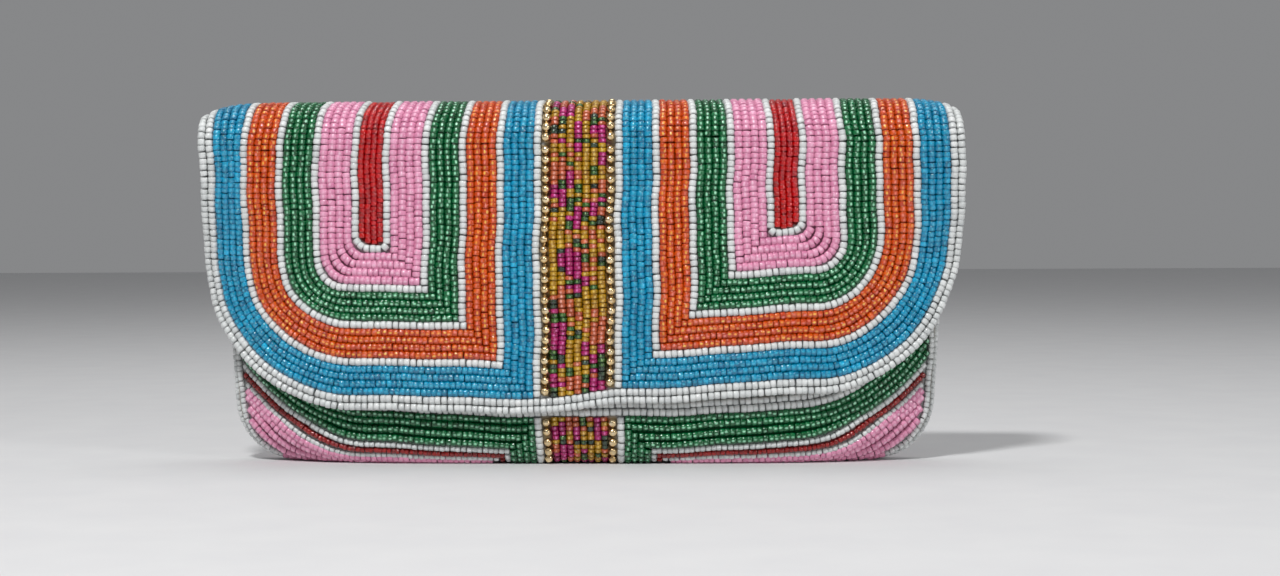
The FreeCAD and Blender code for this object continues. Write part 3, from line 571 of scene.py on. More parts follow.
def cloth_material(name, colour, colour2, scale, rough, sheen=0.2, bump=0.25, satin=False, tinted=False):
    """Woven cloth: crossing threads from two wave textures, with slow colour changes."""
    mat, nt, b = new_mat(name)
    tex = node(nt, "ShaderNodeTexCoord")
    waves = []
    for axis in ("X", "Z"):
        w = node(nt, "ShaderNodeTexWave", bands_direction=axis)
        w.inputs["Scale"].default_value = scale * (2.2 if satin and axis == "Z" else 1.0)
        w.inputs["Distortion"].default_value = 1.2
        w.inputs["Detail"].default_value = 1.0
        nt.links.new(tex.outputs["Object"], w.inputs["Vector"])
        waves.append(w)
    mixw = node(nt, "ShaderNodeMath", operation="MULTIPLY")
    nt.links.new(waves[0].outputs["Fac"], mixw.inputs[0])
    nt.links.new(waves[1].outputs["Fac"], mixw.inputs[1])
    noise = node(nt, "ShaderNodeTexNoise")
    noise.inputs["Scale"].default_value = 60.0
    noise.inputs["Detail"].default_value = 4.0
    nt.links.new(tex.outputs["Object"], noise.inputs["Vector"])
    add = node(nt, "ShaderNodeMath", operation="MULTIPLY_ADD")
    nt.links.new(mixw.outputs[0], add.inputs[0])
    add.inputs[1].default_value = 0.6
    nt.links.new(noise.outputs["Fac"], add.inputs[2])
    ramp = node(nt, "ShaderNodeValToRGB")
    ramp.color_ramp.elements[0].position = 0.35
    ramp.color_ramp.elements[0].color = (*colour2, 1)
    ramp.color_ramp.elements[1].position = 0.95
    ramp.color_ramp.elements[1].color = (*colour, 1)
    nt.links.new(add.outputs[0], ramp.inputs["Fac"])
    # the ground takes the thread colour with painted glow and painted shade between the beads
    if tinted:
        att = node(nt, "ShaderNodeAttribute", attribute_name="thread_glow_and_shade")
        mul = node(nt, "ShaderNodeVectorMath", operation="MULTIPLY")
        nt.links.new(ramp.outputs["Color"], mul.inputs[0])
        nt.links.new(att.outputs["Color"], mul.inputs[1])
        nt.links.new(mul.outputs["Vector"], b.inputs["Base Color"])
    else:
        nt.links.new(ramp.outputs["Color"], b.inputs["Base Color"])
    bp = node(nt, "ShaderNodeBump")
    bp.inputs["Strength"].default_value = bump
    bp.inputs["Distance"].default_value = 0.0002
    nt.links.new(mixw.outputs[0], bp.inputs["Height"])
    nt.links.new(bp.outputs["Normal"], b.inputs["Normal"])
    b.inputs["Roughness"].default_value = rough
    b.inputs["Sheen Weight"].default_value = sheen
    b.inputs["Specular IOR Level"].default_value = 0.5 if satin else 0.25
    if satin:
        b.inputs["Anisotropic"].default_value = 0.5
    return mat


MAT_GROUND = cloth_material("ground_cotton", (1.0, 1.0, 1.0), (0.72, 0.72, 0.72), 700, 0.9, tinted=True)
MAT_EDGE = cloth_material("edge_cotton", tuple(srgb(176, 172, 164)), tuple(srgb(140, 136, 128)), 700, 0.85)
MAT_LINING = cloth_material("satin_lining", tuple(srgb(196, 160, 112)), tuple(srgb(160, 124, 80)), 900, 0.34, sheen=0.4, bump=0.12, satin=True)
MAT_BOARD = cloth_material("stiff_board", tuple(srgb(206, 200, 188)), tuple(srgb(184, 176, 162)), 250, 0.95, sheen=0.0)


def metal_material(name, colour, rough):
    mat, nt, b = new_mat(name)
    tex = node(nt, "ShaderNodeTexCoord")
    noise = node(nt, "ShaderNodeTexNoise")
    noise.inputs["Scale"].default_value = 260.0
    noise.inputs["Detail"].default_value = 5.0
    nt.links.new(tex.outputs["Object"], noise.inputs["Vector"])
    ramp = node(nt, "ShaderNodeValToRGB")
    ramp.color_ramp.elements[0].position = 0.3
    ramp.color_ramp.elements[0].color = (*(np.array(colour) * 0.78), 1)
    ramp.color_ramp.elements[1].position = 0.75
    ramp.color_ramp.elements[1].color = (*colour, 1)
    nt.links.new(noise.outputs["Fac"], ramp.inputs["Fac"])
    nt.links.new(ramp.outputs["Color"], b.inputs["Base Color"])
    b.inputs["Metallic"].default_value = 1.0
    b.inputs["Roughness"].default_value = rough
    return mat


MAT_SNAP = metal_material("snap_brass", tuple(srgb(206, 172, 112)), 0.24)
MAT_MAGNET = metal_material("magnet_plate", tuple(srgb(120, 120, 124)), 0.35)


def dress(name, mat):
    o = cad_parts[name]
    o.data.materials.clear()
    o.data.materials.append(mat)


# -------------------------------------------------------------- bead layout
def wobble(u, q):
    """The small waves of hand-laid rows, the same for rows that lie side by side."""
    du = 0.26 * np.sin(q / 7.3 + u / 29.0) + 0.16 * np.sin(q / 3.1 + u / 13.0 + 1.3)
    dq = 0.22 * np.sin(u / 9.1 + q / 21.0) + 0.15 * np.sin(u / 4.3 + 0.7)
    return u + du, q + dq * np.minimum(1.0, np.abs(q) / 12.0)


def shaky(place):
    def f(u, q):
        a, b = wobble(np.asarray(u, float), np.asarray(q, float))
        return place(a, b)
    return f


FLAP, TOP, BACK, FRONT = shaky(p_flap), shaky(p_top_lean), shaky(p_back_lean), shaky(p_front)

SPEC = {
    "blue": dict(d=2.74, length=1.83, pitch=1.78, flat=0.82),
    "orange": dict(d=2.68, length=1.84, pitch=1.80, flat=0.83),
    "green": dict(d=2.66, length=1.82, pitch=1.80, flat=0.84),
    "pink": dict(d=2.98, length=1.92, pitch=1.86, flat=0.78),
    "red": dict(d=2.26, length=1.67, pitch=1.62, flat=0.92),
    "white": dict(d=2.58, length=1.96, pitch=2.06, profile=BLOCK, flat=0.90),
    "centre": dict(d=2.74, length=1.50, pitch=1.52, flat=0.80),
}
THIN_WHITE = dict(d=2.0, length=1.74, pitch=1.82)
# the lower body's thin red strand takes the darker red, painted shade
THIN_RED = dict(d=1.98, length=1.5, pitch=1.52, pick=lambda u, q, c: np.full(len(u), "brick"))
FINISH = {"blue": "glass", "orange": "glass", "green": "glass", "red": "glass", "pink": "pearl",
          "white": "opaque", "gold": "gold", "centre": "glass", "mixed": "glass"}

# flowers and leaves of the centre band: short runs of beads over two ground colours
def floral(seed, columns, rows):
    r = np.random.default_rng(seed)
    i, j = np.meshgrid(np.arange(columns), np.arange(rows), indexing="ij")
    zone = np.sin(i * 0.9 + j * 0.21 + seed) + 0.8 * np.sin(j * 0.43 - i * 0.5 + 2.0 * seed) + r.normal(0, 0.7, i.shape)
    g = np.where(zone > 0.25, "coral", "ochre").astype("<U8")
    for _ in range(int(columns * rows / 13.5)):
        a, b, n = int(r.integers(columns)), int(r.integers(rows)), int(r.integers(2, 5))
        g[a, b:b + n] = "magenta"
        if r.random() < 0.45:
            a2, b2 = a + int(r.choice([-1, 1])), b + int(r.integers(-1, 2))
            if 0 <= a2 < columns:
                g[a2, max(0, b2):max(0, b2 + n - 1)] = "magenta"
        for _k in range(2):
            a2 = min(columns - 1, max(0, a + int(r.choice([-1, 0, 1]))))
            b2 = b + (n if r.random() < 0.5 else -2)
            m = int(r.integers(1, 3))
            if 0 <= b2 < rows:
                g[a2, b2:b2 + m] = "leaf" if r.random() < 0.72 else "moss"
    for _ in range(int(columns * rows / 24)):
        g[int(r.integers(columns)), int(r.integers(rows))] = "leaf" if r.random() < 0.6 else "moss"
    return g


def lay(region, colour, place, sign, uq, **more):
    spec = dict(SPEC[colour])
    spec.update(more)
    add_beads("bw_%s_%s" % (region, colour), place, sign, uq, colour, **spec)


def gold_column(region, place, sign, uq):
    add_beads("bw_%s_gold" % region, place, sign, uq, "gold", 2.94, 2.86, 3.38, profile=BALL, rise=1.25, around=12, jitter=0.6)
    run = np.asarray(uq, float)
    seg = np.concatenate([[0], np.cumsum(np.linalg.norm(np.diff(run, axis=0), axis=1))])
    n = max(2, int(round(seg[-1] / 3.36)))
    f = np.linspace(0, seg[-1], n + 1)[1:-1]
    for x in f:
        a, b = max(0, x - 0.42), min(seg[-1], x + 0.42)
        pts = [(np.interp(k, seg, run[:, 0]), np.interp(k, seg, run[:, 1])) for k in (a, b)]
        add_beads("bw_%s_gold" % region, place, sign, pts, "spacer", 1.7, 0.8, 0.84, profile=BLOCK, rise=1.0, jitter=0.3)


def line(a, b, n=2):
    return np.stack([np.linspace(a[0], b[0], n), np.linspace(a[1], b[1], n)], -1)


def arc_pts(cx, cy, r, a0, a1, n=16):
    a = np.linspace(a0, a1, n)
    return np.stack([cx + r * np.cos(a), cy + r * np.sin(a)], -1)


def motif_rows(region, place, sign, q_top, border):
    """Every row of the nested U bands, with the centre band."""
    for side in (1, -1):
        def put(colour, uq, **more):
            uq = np.asarray(uq, float) * [side, 1]
            lay(region, colour, place, sign, uq, **more)
        d0 = 0.0
        for name, n, pitch in BANDS:
            if name == "red":
                d = d0
                u_in, u_out, q_low = BAND_HALF + d, U_OUT - d, Q_BOT - d
                w = (u_out - u_in) / 4
                for i, short in enumerate((0.9, 0.1, 0.5, 2.4)):
                    put("red", line((u_in + w * (i + 0.5), q_top), (u_in + w * (i + 0.5), q_low - short)))
                continue
            for i in range(n):
                d = d0 + (i + 0.5) * pitch
                uo, ui, qb = U_OUT - d, BAND_HALF + d, Q_BOT - d
                if name == "white" and d > 45:
                    # the white row round the red field has two soft corners
                    r, r2 = 4.6, 2.4
                    put("white", np.concatenate([line((uo, q_top), (uo, qb - r)), arc_pts(uo - r, qb - r, r, 0, math.pi / 2, 8)[1:],
                                                 line((uo - r, qb), (ui + r2, qb))[1:],
                                                 arc_pts(ui + r2, qb - r2, r2, math.pi / 2, math.pi, 8)[1:],
                                                 line((ui, qb - r2), (ui, q_top))[1:]]))
                    continue
                r = max(R_OUT - d, 9.4 - (d - 35.8) * 0.374) if d > 35.8 else R_OUT - d
                outer = np.concatenate([line((uo, q_top), (uo, qb - r)), arc_pts(uo - r, qb - r, r, 0, math.pi / 2, 24)[1:],
                                        line((uo - r, qb), (ui - pitch * 0.45, qb))[1:]])
                put(name, outer)
                put(name, line((ui, q_top), (ui, qb - pitch * 0.55)))
            d0 += n * pitch
        if border:
            for d in (-1.3, -3.9):
                uo, qb, r = U_OUT - d, Q_BOT - d, R_OUT - d
                put("white", np.concatenate([line((uo, q_top), (uo, qb - r)), arc_pts(uo - r, qb - r, r, 0, math.pi / 2, 28)[1:],
                                             line((uo - r, qb), (0.0, qb))[1:]]))
        put("white", line((BAND_HALF - W_ROW / 2, q_top), (BAND_HALF - W_ROW / 2, Q_BOT - 0.4)))
        gold_column(region, place, sign, line((side * (BAND_HALF - W_ROW - 1.5), q_top + 0.3), (side * (BAND_HALF - W_ROW - 1.5), Q_BOT - 0.6)))
    centre_rows(region, place, sign, q_top, Q_BOT - 0.2, 31)


def centre_rows(region, place, sign, q0, q1, seed, n=7):
    w = BAND_HALF - W_ROW - 3.0
    g = floral(seed, n, 90)
    for i in range(n):
        u = -w + (i + 0.5) * 2 * w / n
        more = {} if n == 7 else dict(d=2.4)
        lay(region, "centre", place, sign, line((u, q0), (u, q1)), pick=lambda u, q, c, i=i: g[i][:len(u)], **more)


motif_rows("flap", FLAP, -1, 0.0, True)
motif_rows("back", BACK, 1, 0.0, True)


def top_rows():
    """The columns over the fold, laid as a front half and a back half."""
    for region, a0, a1 in (("topf", 0.0, ARC / 2), ("topb", ARC / 2, ARC)):
        for side in (1, -1):
            def put(colour, u, **more):
                lay(region, colour, TOP, -1, line((u * side, a1), (u * side, a0)), **more)
            d0 = 0.0
            for name, n, pitch in BANDS:
                if name == "red":
                    w = (U_OUT - BAND_HALF - 2 * d0) / 4
                    for i in range(4):
                        put("red", BAND_HALF + d0 + w * (i + 0.5))
                    continue
                for i in range(n):
                    d = d0 + (i + 0.5) * pitch
                    put(name, U_OUT - d)
                    put(name, BAND_HALF + d)
                d0 += n * pitch
            for d in (-1.3, -3.9):
                put("white", U_OUT - d)
            put("white", BAND_HALF - W_ROW / 2)
            u = side * (BAND_HALF - W_ROW - 1.5)
            gold_column(region, TOP, -1, line((u, a1 - 0.3), (u, a0 + 0.3)))
        w = BAND_HALF - W_ROW - 3.0
        g = floral(57 if region == "topf" else 63, 7, 40)
        for i in range(7):
            u = -w + (i + 0.5) * 2 * w / 7
            lay(region, "centre", TOP, -1, line((u, a1), (u, a0)), pick=lambda u, q, c, i=i: g[i][:len(u)])


# the arc's own direction is the panel's, back to front, so its normal is turned to match
def top_normal_sign():
    n = normal(p_top, np.array([20.0]), np.array([ARC / 2]), 1)
    return 1 if n[0, 2] > 0 else -1


_sign = top_normal_sign()
_old_lay = lay


def lay(region, colour, place, sign, uq, **more):
    _old_lay(region, colour, place, _sign if place is TOP else sign, uq, **more)


_old_gold = gold_column


def gold_column(region, place, sign, uq):
    _old_gold(region, place, _sign if place is TOP else sign, uq)


top_rows()

LOWER = [("white", 2, 2.6), ("green", 4, 2.2), ("white", 1, 2.0), ("red", 1, 2.0), ("white", 1, 2.1)]


def low_row(q, v, front):
    cx, r0, bow = (70.0, 43.1, 4.2) if front else (U_OUT - R_OUT, R_OUT, 0.0)
    r = r0 + (q - Q_BOT)
    us = np.linspace(v, cx, 12)
    pts = [(u, q - bow * (u / 100.0) ** 2) for u in us]
    for a in np.linspace(0, math.radians(85), 70)[1:]:
        u = cx + r * math.sin(a)
        s = q - bow * (u / 100.0) ** 2 - r * (1 - math.cos(a))
        if front:
            lim = float(body_half(front_row(s)[1])) - 2.5
            x = u
        else:
            b = s - 2.4 * (u / 100.0) ** 2
            lim = float(body_half(back_row(b)[1])) - 2.5
            x = float(back_x(u, b))
        if x > lim:
            break
        pts.append((u, s))
    return np.array(pts)


def corner_rows(put, q_end, front):
    """Pink rows that run on below the last full one, where the panel's lower corner is."""
    for i in range(9):
        pts = low_row(q_end + (i + 0.5) * C_ROW, 0.0, front)
        low = pts[:, 1] if front else pts[:, 1] - 2.4 * (pts[:, 0] / 100.0) ** 2
        pts = pts[low < q_end + 0.2]
        if len(pts) > 2:
            put("pink", pts)


def seam_row(put, front, z0):
    """The white row that closes the pattern along the side seam and round the lower corner."""
    q_end = Q_END_F if front else Q_END_B
    s = np.linspace(Z_FOLD - z0, q_end - 0.4, 70)
    z = (front_row(s) if front else back_row(s))[1]
    if front:
        put("white", np.stack([body_half(z) - 1.3, s], -1), **THIN_WHITE)
    else:
        u = (body_half(z) - 1.3) / body_half(np.maximum(22.0, z)) * FLAP_HALF
        put("white", np.stack([u, s + 2.4 * (u / 100.0) ** 2], -1), **THIN_WHITE)


def lower_rows(region, place, sign, q_top, q_end, front):
    for side in (1, -1):
        def put(colour, uq, **more):
            lay(region, colour, place, sign, np.asarray(uq, float) * [side, 1], **more)
        q, v = q_top, BAND_HALF
        for k, (name, n, w) in enumerate(LOWER):
            for i in range(n):
                f = (i + 0.5) * w
                if k == 0:
                    if front or i < 2:
                        put(name, low_row(q + f, 0.0, front))
                    continue
                more = THIN_RED if name == "red" else THIN_WHITE if name == "white" and n == 1 else {}
                put(name, low_row(q + f, v + f - w * 0.45, front), **more)
                if q_end - (q + f) > 1.5:
                    put(name, line((v + f, q + f + w * 0.55), (v + f, q_end)), **more)
            q += n * w
            if k:
                v += n * w
        rows = max(1, int(round((q_end - q) / C_ROW)))
        w = (q_end - q) / rows
        for i in range(rows):
            put("pink", low_row(q + (i + 0.5) * w, v + (i + 0.5) * w, front))
        corner_rows(put, q_end, True)
        seam_row(put, True, 60.0)
        q1 = q_top + 5.2
        put("white", line((BAND_HALF - W_ROW / 2, q1 + 0.2), (BAND_HALF - W_ROW / 2, q_end)))
        u = side * (BAND_HALF - W_ROW - 1.5)
        gold_column(region, place, sign, line((u, q1 + 0.4), (u, q_end - 0.4)))
    centre_rows(region, place, sign, q1 + 0.2, q_end, 87, 8)


lower_rows("front", FRONT, -1, 85.7, Q_END_F - 0.3, True)
# on the back the first two white rows are the motif's own border
LOWER_BACK = LOWER


def back_lower():
    global LOWER
    q_end = Q_END_B - 0.3
    for side in (1, -1):
        def put(colour, uq, **more):
            lay("back", colour, BACK, 1, np.asarray(uq, float) * [side, 1], **more)
        q, v = Q_BOT + 5.2, BAND_HALF
        for name, n, w in LOWER[1:]:
            for i in range(n):
                f = (i + 0.5) * w
                more = THIN_RED if name == "red" else THIN_WHITE if name == "white" and n == 1 else {}
                put(name, low_row(q + f, v + f - w * 0.45, False), **more)
                if q_end - (q + f) > 1.5:
                    put(name, line((v + f, q + f + w * 0.55), (v + f, q_end)), **more)
            q += n * w
            v += n * w
        rows = max(1, int(round((q_end - q) / C_ROW)))
        w = (q_end - q) / rows
        for i in range(rows):
            put("pink", low_row(q + (i + 0.5) * w, v + (i + 0.5) * w, False))
        corner_rows(put, q_end, False)
        seam_row(put, False, 52.0)
        q1 = Q_BOT + 5.2
        put("white", line((BAND_HALF - W_ROW / 2, q1 + 0.2), (BAND_HALF - W_ROW / 2, q_end)))
        u = side * (BAND_HALF - W_ROW - 1.5)
        gold_column("back", BACK, 1, line((u, q1 + 0.4), (u, q_end - 0.4)))
    centre_rows("back", BACK, 1, q1 + 0.2, q_end, 95)


back_lower()


# ---- base
def base_pick(u, q, c):
    a = np.abs(u)
    names = np.full(len(u), "pink", "<U8")
    for lim, k in ((31.1, "white"), (28.5, "red"), (26.5, "white"), (23.9, "green"), (14.8, "white"), (12.2, "gold"), (9.2, "ochre")):
        names[a < lim] = k
    return names


def base_place(u, v):
    return p_base(u, v / 13.5)


for i in range(6):
    v = (i + 0.5) / 6 * 13.5
    # rows stop where the base gets too narrow for them
    reach = 96.0 if i in (2, 3) else 88.0 if i in (1, 4) else 80.0
    add_beads("bw_base", base_place, 1, line((-reach, v), (reach, v), 40), "pink", 2.16, 1.78, 1.95, pick=base_pick, rise=1.09, jitter=0.5)


# ---- side edges: two rows of white beads down each seam and round the corner
def edge_path(side):
    zs = np.linspace(Z_MOUTH, 22.0, 40)
    pts = [(float(body_half(z)), z) for z in zs]
    for a in np.linspace(0, math.pi / 2, 24)[1:]:
        pts.append((BODY_HALF_LOW - CORNER_X * (1 - math.cos(a)), 22.0 - CORNER_Z * math.sin(a)))
    return np.array(pts)


EDGE = edge_path(1)
EDGE_RUN = np.concatenate([[0], np.cumsum(np.linalg.norm(np.diff(EDGE, axis=0), axis=1))])


def shell_y(z, front):
    if front:
        w = np.arcsin(np.clip((Z_ROUND_F - z) / (Z_ROUND_F - Z_BASE), 0, 1))
        return Y_SEAM_F + (Y_SEAM_B - Y_SEAM_F) * 0.35 * w / (math.pi / 2)
    w = np.arccos(np.clip((Z_ROUND_B - z) / (Z_ROUND_B - Z_BASE), 0, 1))
    return Y_SEAM_F + (Y_SEAM_B - Y_SEAM_F) * (0.65 + 0.35 * w / (math.pi / 2))


def edge_place(side):
    def f(v, a):
        x, z = np.interp(a, EDGE_RUN, EDGE[:, 0]), np.interp(a, EDGE_RUN, EDGE[:, 1])
        lo, hi = shell_y(z, True), shell_y(z, False)
        return stack(side * x, lo + (hi - lo) * v, z)
    return f


for side in (1, -1):
    pl = edge_place(side)
    n = normal(pl, np.array([0.5]), np.array([30.0]), 1, e=0.02)
    sg = 1 if n[0, 0] * side > 0 else -1
    for v, end in ((0.22, EDGE_RUN[-1]), (0.78, EDGE_RUN[-1] - 3.0)):
        # u runs 0 to 1 across the seam, so the path is given at a constant share
        uq = np.stack([np.full(60, v), np.linspace(0.5, end, 60)], -1)
        add_beads("bw_edges", pl, sg, uq, "white", 2.2, 1.84, 1.94, profile=BLOCK, rise=0.75, flat=0.9, jitter=0.8)

# ------------------------------------------------------------------- cloth
T = np.concatenate([np.linspace(-1, -0.8, 20)[:-1], np.linspace(-0.8, 0.8, 150)[:-1], np.linspace(0.8, 1, 20)])


def grid_norm(g, sign):
    du, dv = np.gradient(g, axis=0), np.gradient(g, axis=1)
    n = np.cross(du, dv)
    n /= np.maximum(1e-12, np.linalg.norm(n, axis=-1, keepdims=True))
    return n * sign


COTTON = srgb(206, 192, 168)
TREE = {}


def bead_tree():
    """Every bead's centre and colour, for tinting the cloth below."""
    if not TREE:
        c = np.concatenate([s["c"] for p in PIECES for s in PIECES[p] if p.startswith("bw")])
        k = np.concatenate([s["names"] for p in PIECES for s in PIECES[p] if p.startswith("bw")])
        t = KDTree(len(c))
        for i, co in enumerate(c):
            t.insert(co, i)
        t.balance()
        TREE["tree"] = t
        TREE["colour"] = np.array([PALETTE[x][0] for x in k])
    return TREE["tree"], TREE["colour"]


def thread_glow_and_shade(ob):
    """The cloth's colour between the beads: partly the thread's colour, partly painted light through the glass beads
    and painted shade at 0.62 of the nearest bead's colour; bare cotton away from them.
    """
    tree, colour = bead_tree()
    co = np.empty(len(ob.data.vertices) * 3)
    ob.data.vertices.foreach_get("co", co)
    co = co.reshape(-1, 3) / MM - [0, Y0, 0]
    out = np.empty((len(co), 4))
    out[:, 3] = 1
    for i, p in enumerate(co):
        _p, k, far = tree.find(p)
        w = min(1.0, max(0.0, (far - 2.4) / 1.2))
        # painted glow and shade: the nearest bead's colour at 0.62 near the beads, bare cotton further off
        out[i, :3] = colour[k] * 0.62 * (1 - w) + COTTON * w
    at = ob.data.attributes.new("thread_glow_and_shade", "FLOAT_COLOR", "POINT")
    at.data.foreach_set("color", out.astype(np.float32).ravel())


def panel(name, grid, sign, d0, d1, mat):
    n = grid_norm(grid, sign)
    if mat == MAT_GROUND:
        # the thread and the beads' lower halves fill the rows, so the ground lies higher there
        tree, _c = bead_tree()
        far = np.array([tree.find(p)[2] for p in grid.reshape(-1, 3)]).reshape(grid.shape[:2])
        i, j = np.arange(grid.shape[0]), np.arange(grid.shape[1])
        inside = np.minimum(np.minimum(i, i[::-1])[:, None], np.minimum(j, j[::-1])[None, :])
        d0 = d0 - 0.5 * np.clip((3.0 - far) / 0.8, 0, 1) * (inside > 1)
    d0 = np.broadcast_to(np.asarray(d0, float), grid.shape[:2])[..., None]
    d1 = np.broadcast_to(np.asarray(d1, float), grid.shape[:2])[..., None]
    ob = slab(name, grid + n * d0, grid + n * d1)
    ob.data.materials.append(mat)
    if mat == MAT_GROUND:
        thread_glow_and_shade(ob)
    return ob


def flap_outline(w):
    q0 = FLAP_DROP - FLAP_CORNER
    a = math.pi / 2 * np.clip(w - 1, 0, 1)
    return (np.where(w <= 1, FLAP_HALF, FLAP_HALF - FLAP_CORNER * (1 - np.cos(a))),
            np.where(w <= 1, q0 * w, q0 + FLAP_CORNER * np.sin(a)))


flap_plain = p_flap


W = np.concatenate([np.linspace(0, 1, 40)[:-1], np.linspace(1, 2, 56)])
hw, hq = flap_outline(W)
g_flap = flap_plain(T[:, None] * hw[None, :], np.broadcast_to(hq[None, :], (len(T), len(W))))
A_F, A_B = np.linspace(0, ARC / 2, 20), np.linspace(ARC / 2, ARC, 20)
g_topf = p_top_lean(T[:, None] * FLAP_HALF, A_F[None, :] + 0 * T[:, None])
g_topb = p_top_lean(T[:, None] * FLAP_HALF, A_B[None, :] + 0 * T[:, None])
SF = np.concatenate([np.linspace(Z_FOLD - Z_MOUTH, S_FRONT, 70)[:-1], np.linspace(S_FRONT, Q_END_F, 24)])
yf, zf, shf, wf = front_row(SF)
g_front = shell(T[:, None], yf[None], zf[None], shf[None], wf[None])
SB = np.concatenate([np.linspace(0, S_BACK, 70)[:-1], np.linspace(S_BACK, Q_END_B, 24)])
yb, zb, shb, wb = back_row(SB)
g_back = shell(T[:, None], yb[None], zb[None], shb[None], wb[None] & False)

D1, D2 = FABRIC_T, FABRIC_T + BOARD_T
D3 = D2 + LINING_T


def inward_sign(g, probe):
    n = grid_norm(g, 1)
    i, j = g.shape[0] // 2, g.shape[1] // 2
    return 1 if float(n[i, j] @ (np.array(probe) - g[i, j])) > 0 else -1


IN = [0, 0, 60]
s_flap, s_front, s_back = inward_sign(g_flap, IN), inward_sign(g_front, IN), inward_sign(g_back, IN)
s_topf, s_topb = inward_sign(g_topf, [0, 0, Z_FOLD]), inward_sign(g_topb, [0, 0, Z_FOLD])

cloth = {}
edge_t = smooth((np.abs(T) - 0.885) / 0.02)[:, None]
low_f = np.maximum(edge_t, smooth((10.5 - hq) / 1.0)[None, :])
low_f = np.maximum(low_f, smooth((W - 1.88) / 0.03)[None, :])
cloth["flap"] = panel("cloth_flap", g_flap, s_flap, 0.0, 0.62 + 0.76 * low_f, MAT_GROUND)
front_edge = np.maximum(edge_t, smooth((Z_FOLD - Z_MOUTH + 6.8 - SF) / 1.0)[None, :])
front_edge = np.maximum(front_edge, smooth((SF - S_FRONT + 0.6) / 1.0)[None, :])
cloth["front"] = panel("cloth_front", g_front, s_front, 0.0, 0.62 + 0.76 * front_edge, MAT_GROUND)
back_edge = np.maximum(edge_t, smooth((SB - S_BACK + 0.6) / 1.0)[None, :])
cloth["back"] = panel("cloth_back", g_back, s_back, 0.0, 0.62 + 0.76 * back_edge, MAT_GROUND)
cloth["topf"] = panel("cloth_fold_front", g_topf, s_topf, 0.0, 1.38, MAT_GROUND)
cloth["topb"] = panel("cloth_fold_back", g_topb, s_topb, 0.0, 1.38, MAT_GROUND)


def puffed(g, sign, amount, d0, d1, name, mat):
    """A lining: thin, with soft ripples where it isn't held by a seam."""
    n, m = g.shape[:2]
    a, b = np.linspace(0, 1, n)[:, None], np.linspace(0, 1, m)[None, :]
    hold = np.clip(np.minimum(np.minimum(a, 1 - a) * 9, np.minimum(b, 1 - b) * 6), 0, 1)
    r = 0.5 * np.sin(a * 37 + 3 * np.sin(b * 5)) * np.sin(b * 9 + 1.2) + 0.5 * np.sin(a * 19 + b * 11)
    d = amount * hold * (0.5 + 0.5 * r)
    return panel(name, g, sign, d0 + 0 * d, d1 + d, mat)


lining = {}
lining["flap"] = puffed(g_flap, s_flap, 0.12, D2, D3, "lining_flap", MAT_LINING)
lining["front"] = puffed(g_front, s_front, 0.5, D2, D3, "lining_front", MAT_LINING)
lining["back"] = puffed(g_back, s_back, 0.5, D2, D3, "lining_back", MAT_LINING)
lining["topf"] = panel("lining_fold_front", g_topf, s_topf, D2, D3, MAT_LINING)
lining["topb"] = panel("lining_fold_back", g_topb, s_topb, D2, D3, MAT_LINING)

# base cloth
xs = np.linspace(-97, 97, 90)
vs = np.linspace(0, 1, 8)
gb = stack(xs[:, None], base_edge_y(xs, True)[:, None] + (base_edge_y(xs, False) - base_edge_y(xs, True))[:, None] * vs[None, :], Z_BASE)
cloth["base"] = slab("cloth_base", gb, gb + [0, 0, 0.6])
cloth["base"].data.materials.append(MAT_GROUND)
thread_glow_and_shade(cloth["base"])


# ---- base lining, seam tapes and the folded tape on the mouth
lo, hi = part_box("base_lining")
lo, hi = np.array(lo) / MM - [0, Y0, 0], np.array(hi) / MM - [0, Y0, 0]
xs2, ys2 = np.linspace(lo[0], hi[0], 80), np.linspace(lo[1], hi[1], 9)
gx, gy = np.meshgrid(xs2, ys2, indexing="ij")
rim = np.clip(np.minimum(gx - lo[0], hi[0] - gx) / 6.0, 0, 1) * np.sin(math.pi * np.clip((gy - lo[1]) / (hi[1] - lo[1]), 0, 1))
gz = lo[2] + 0.02 + 0.22 * rim * (0.5 + 0.3 * np.sin(gx / 4.7) + 0.2 * np.sin(gx / 1.9 + gy))
lining["base"] = slab("lining_base", stack(gx, gy, gz + 0.22), stack(gx, gy, gz))
lining["base"].data.materials.append(MAT_LINING)
g_linbase = stack(gx, gy, gz)


def tape_profile(node_name, side):
    """A woven tape round the side seam, a little crowned across its width."""
    place = edge_place(side)
    v = np.linspace(0.03, 0.97, 7)
    a = np.linspace(0.2, EDGE_RUN[-1] - 0.2, 90)
    vv, aa = np.meshgrid(v, a, indexing="ij")
    g = place(vv, aa)
    n = grid_norm(g, 1)
    if (n[3, 20] * [side, 0, 0]).sum() < 0:
        n = -n
    crown = 0.08 * np.sin(math.pi * (vv - 0.03) / 0.94)[..., None]
    ob = slab(node_name, g + n * (0.28 + crown), g + n * 0.03)
    ob.data.materials.append(MAT_EDGE)
    return ob, g


tapes = {}
tapes["left"], g_tape = tape_profile("tape_left", -1)
tapes["right"], _g = tape_profile("tape_right", 1)


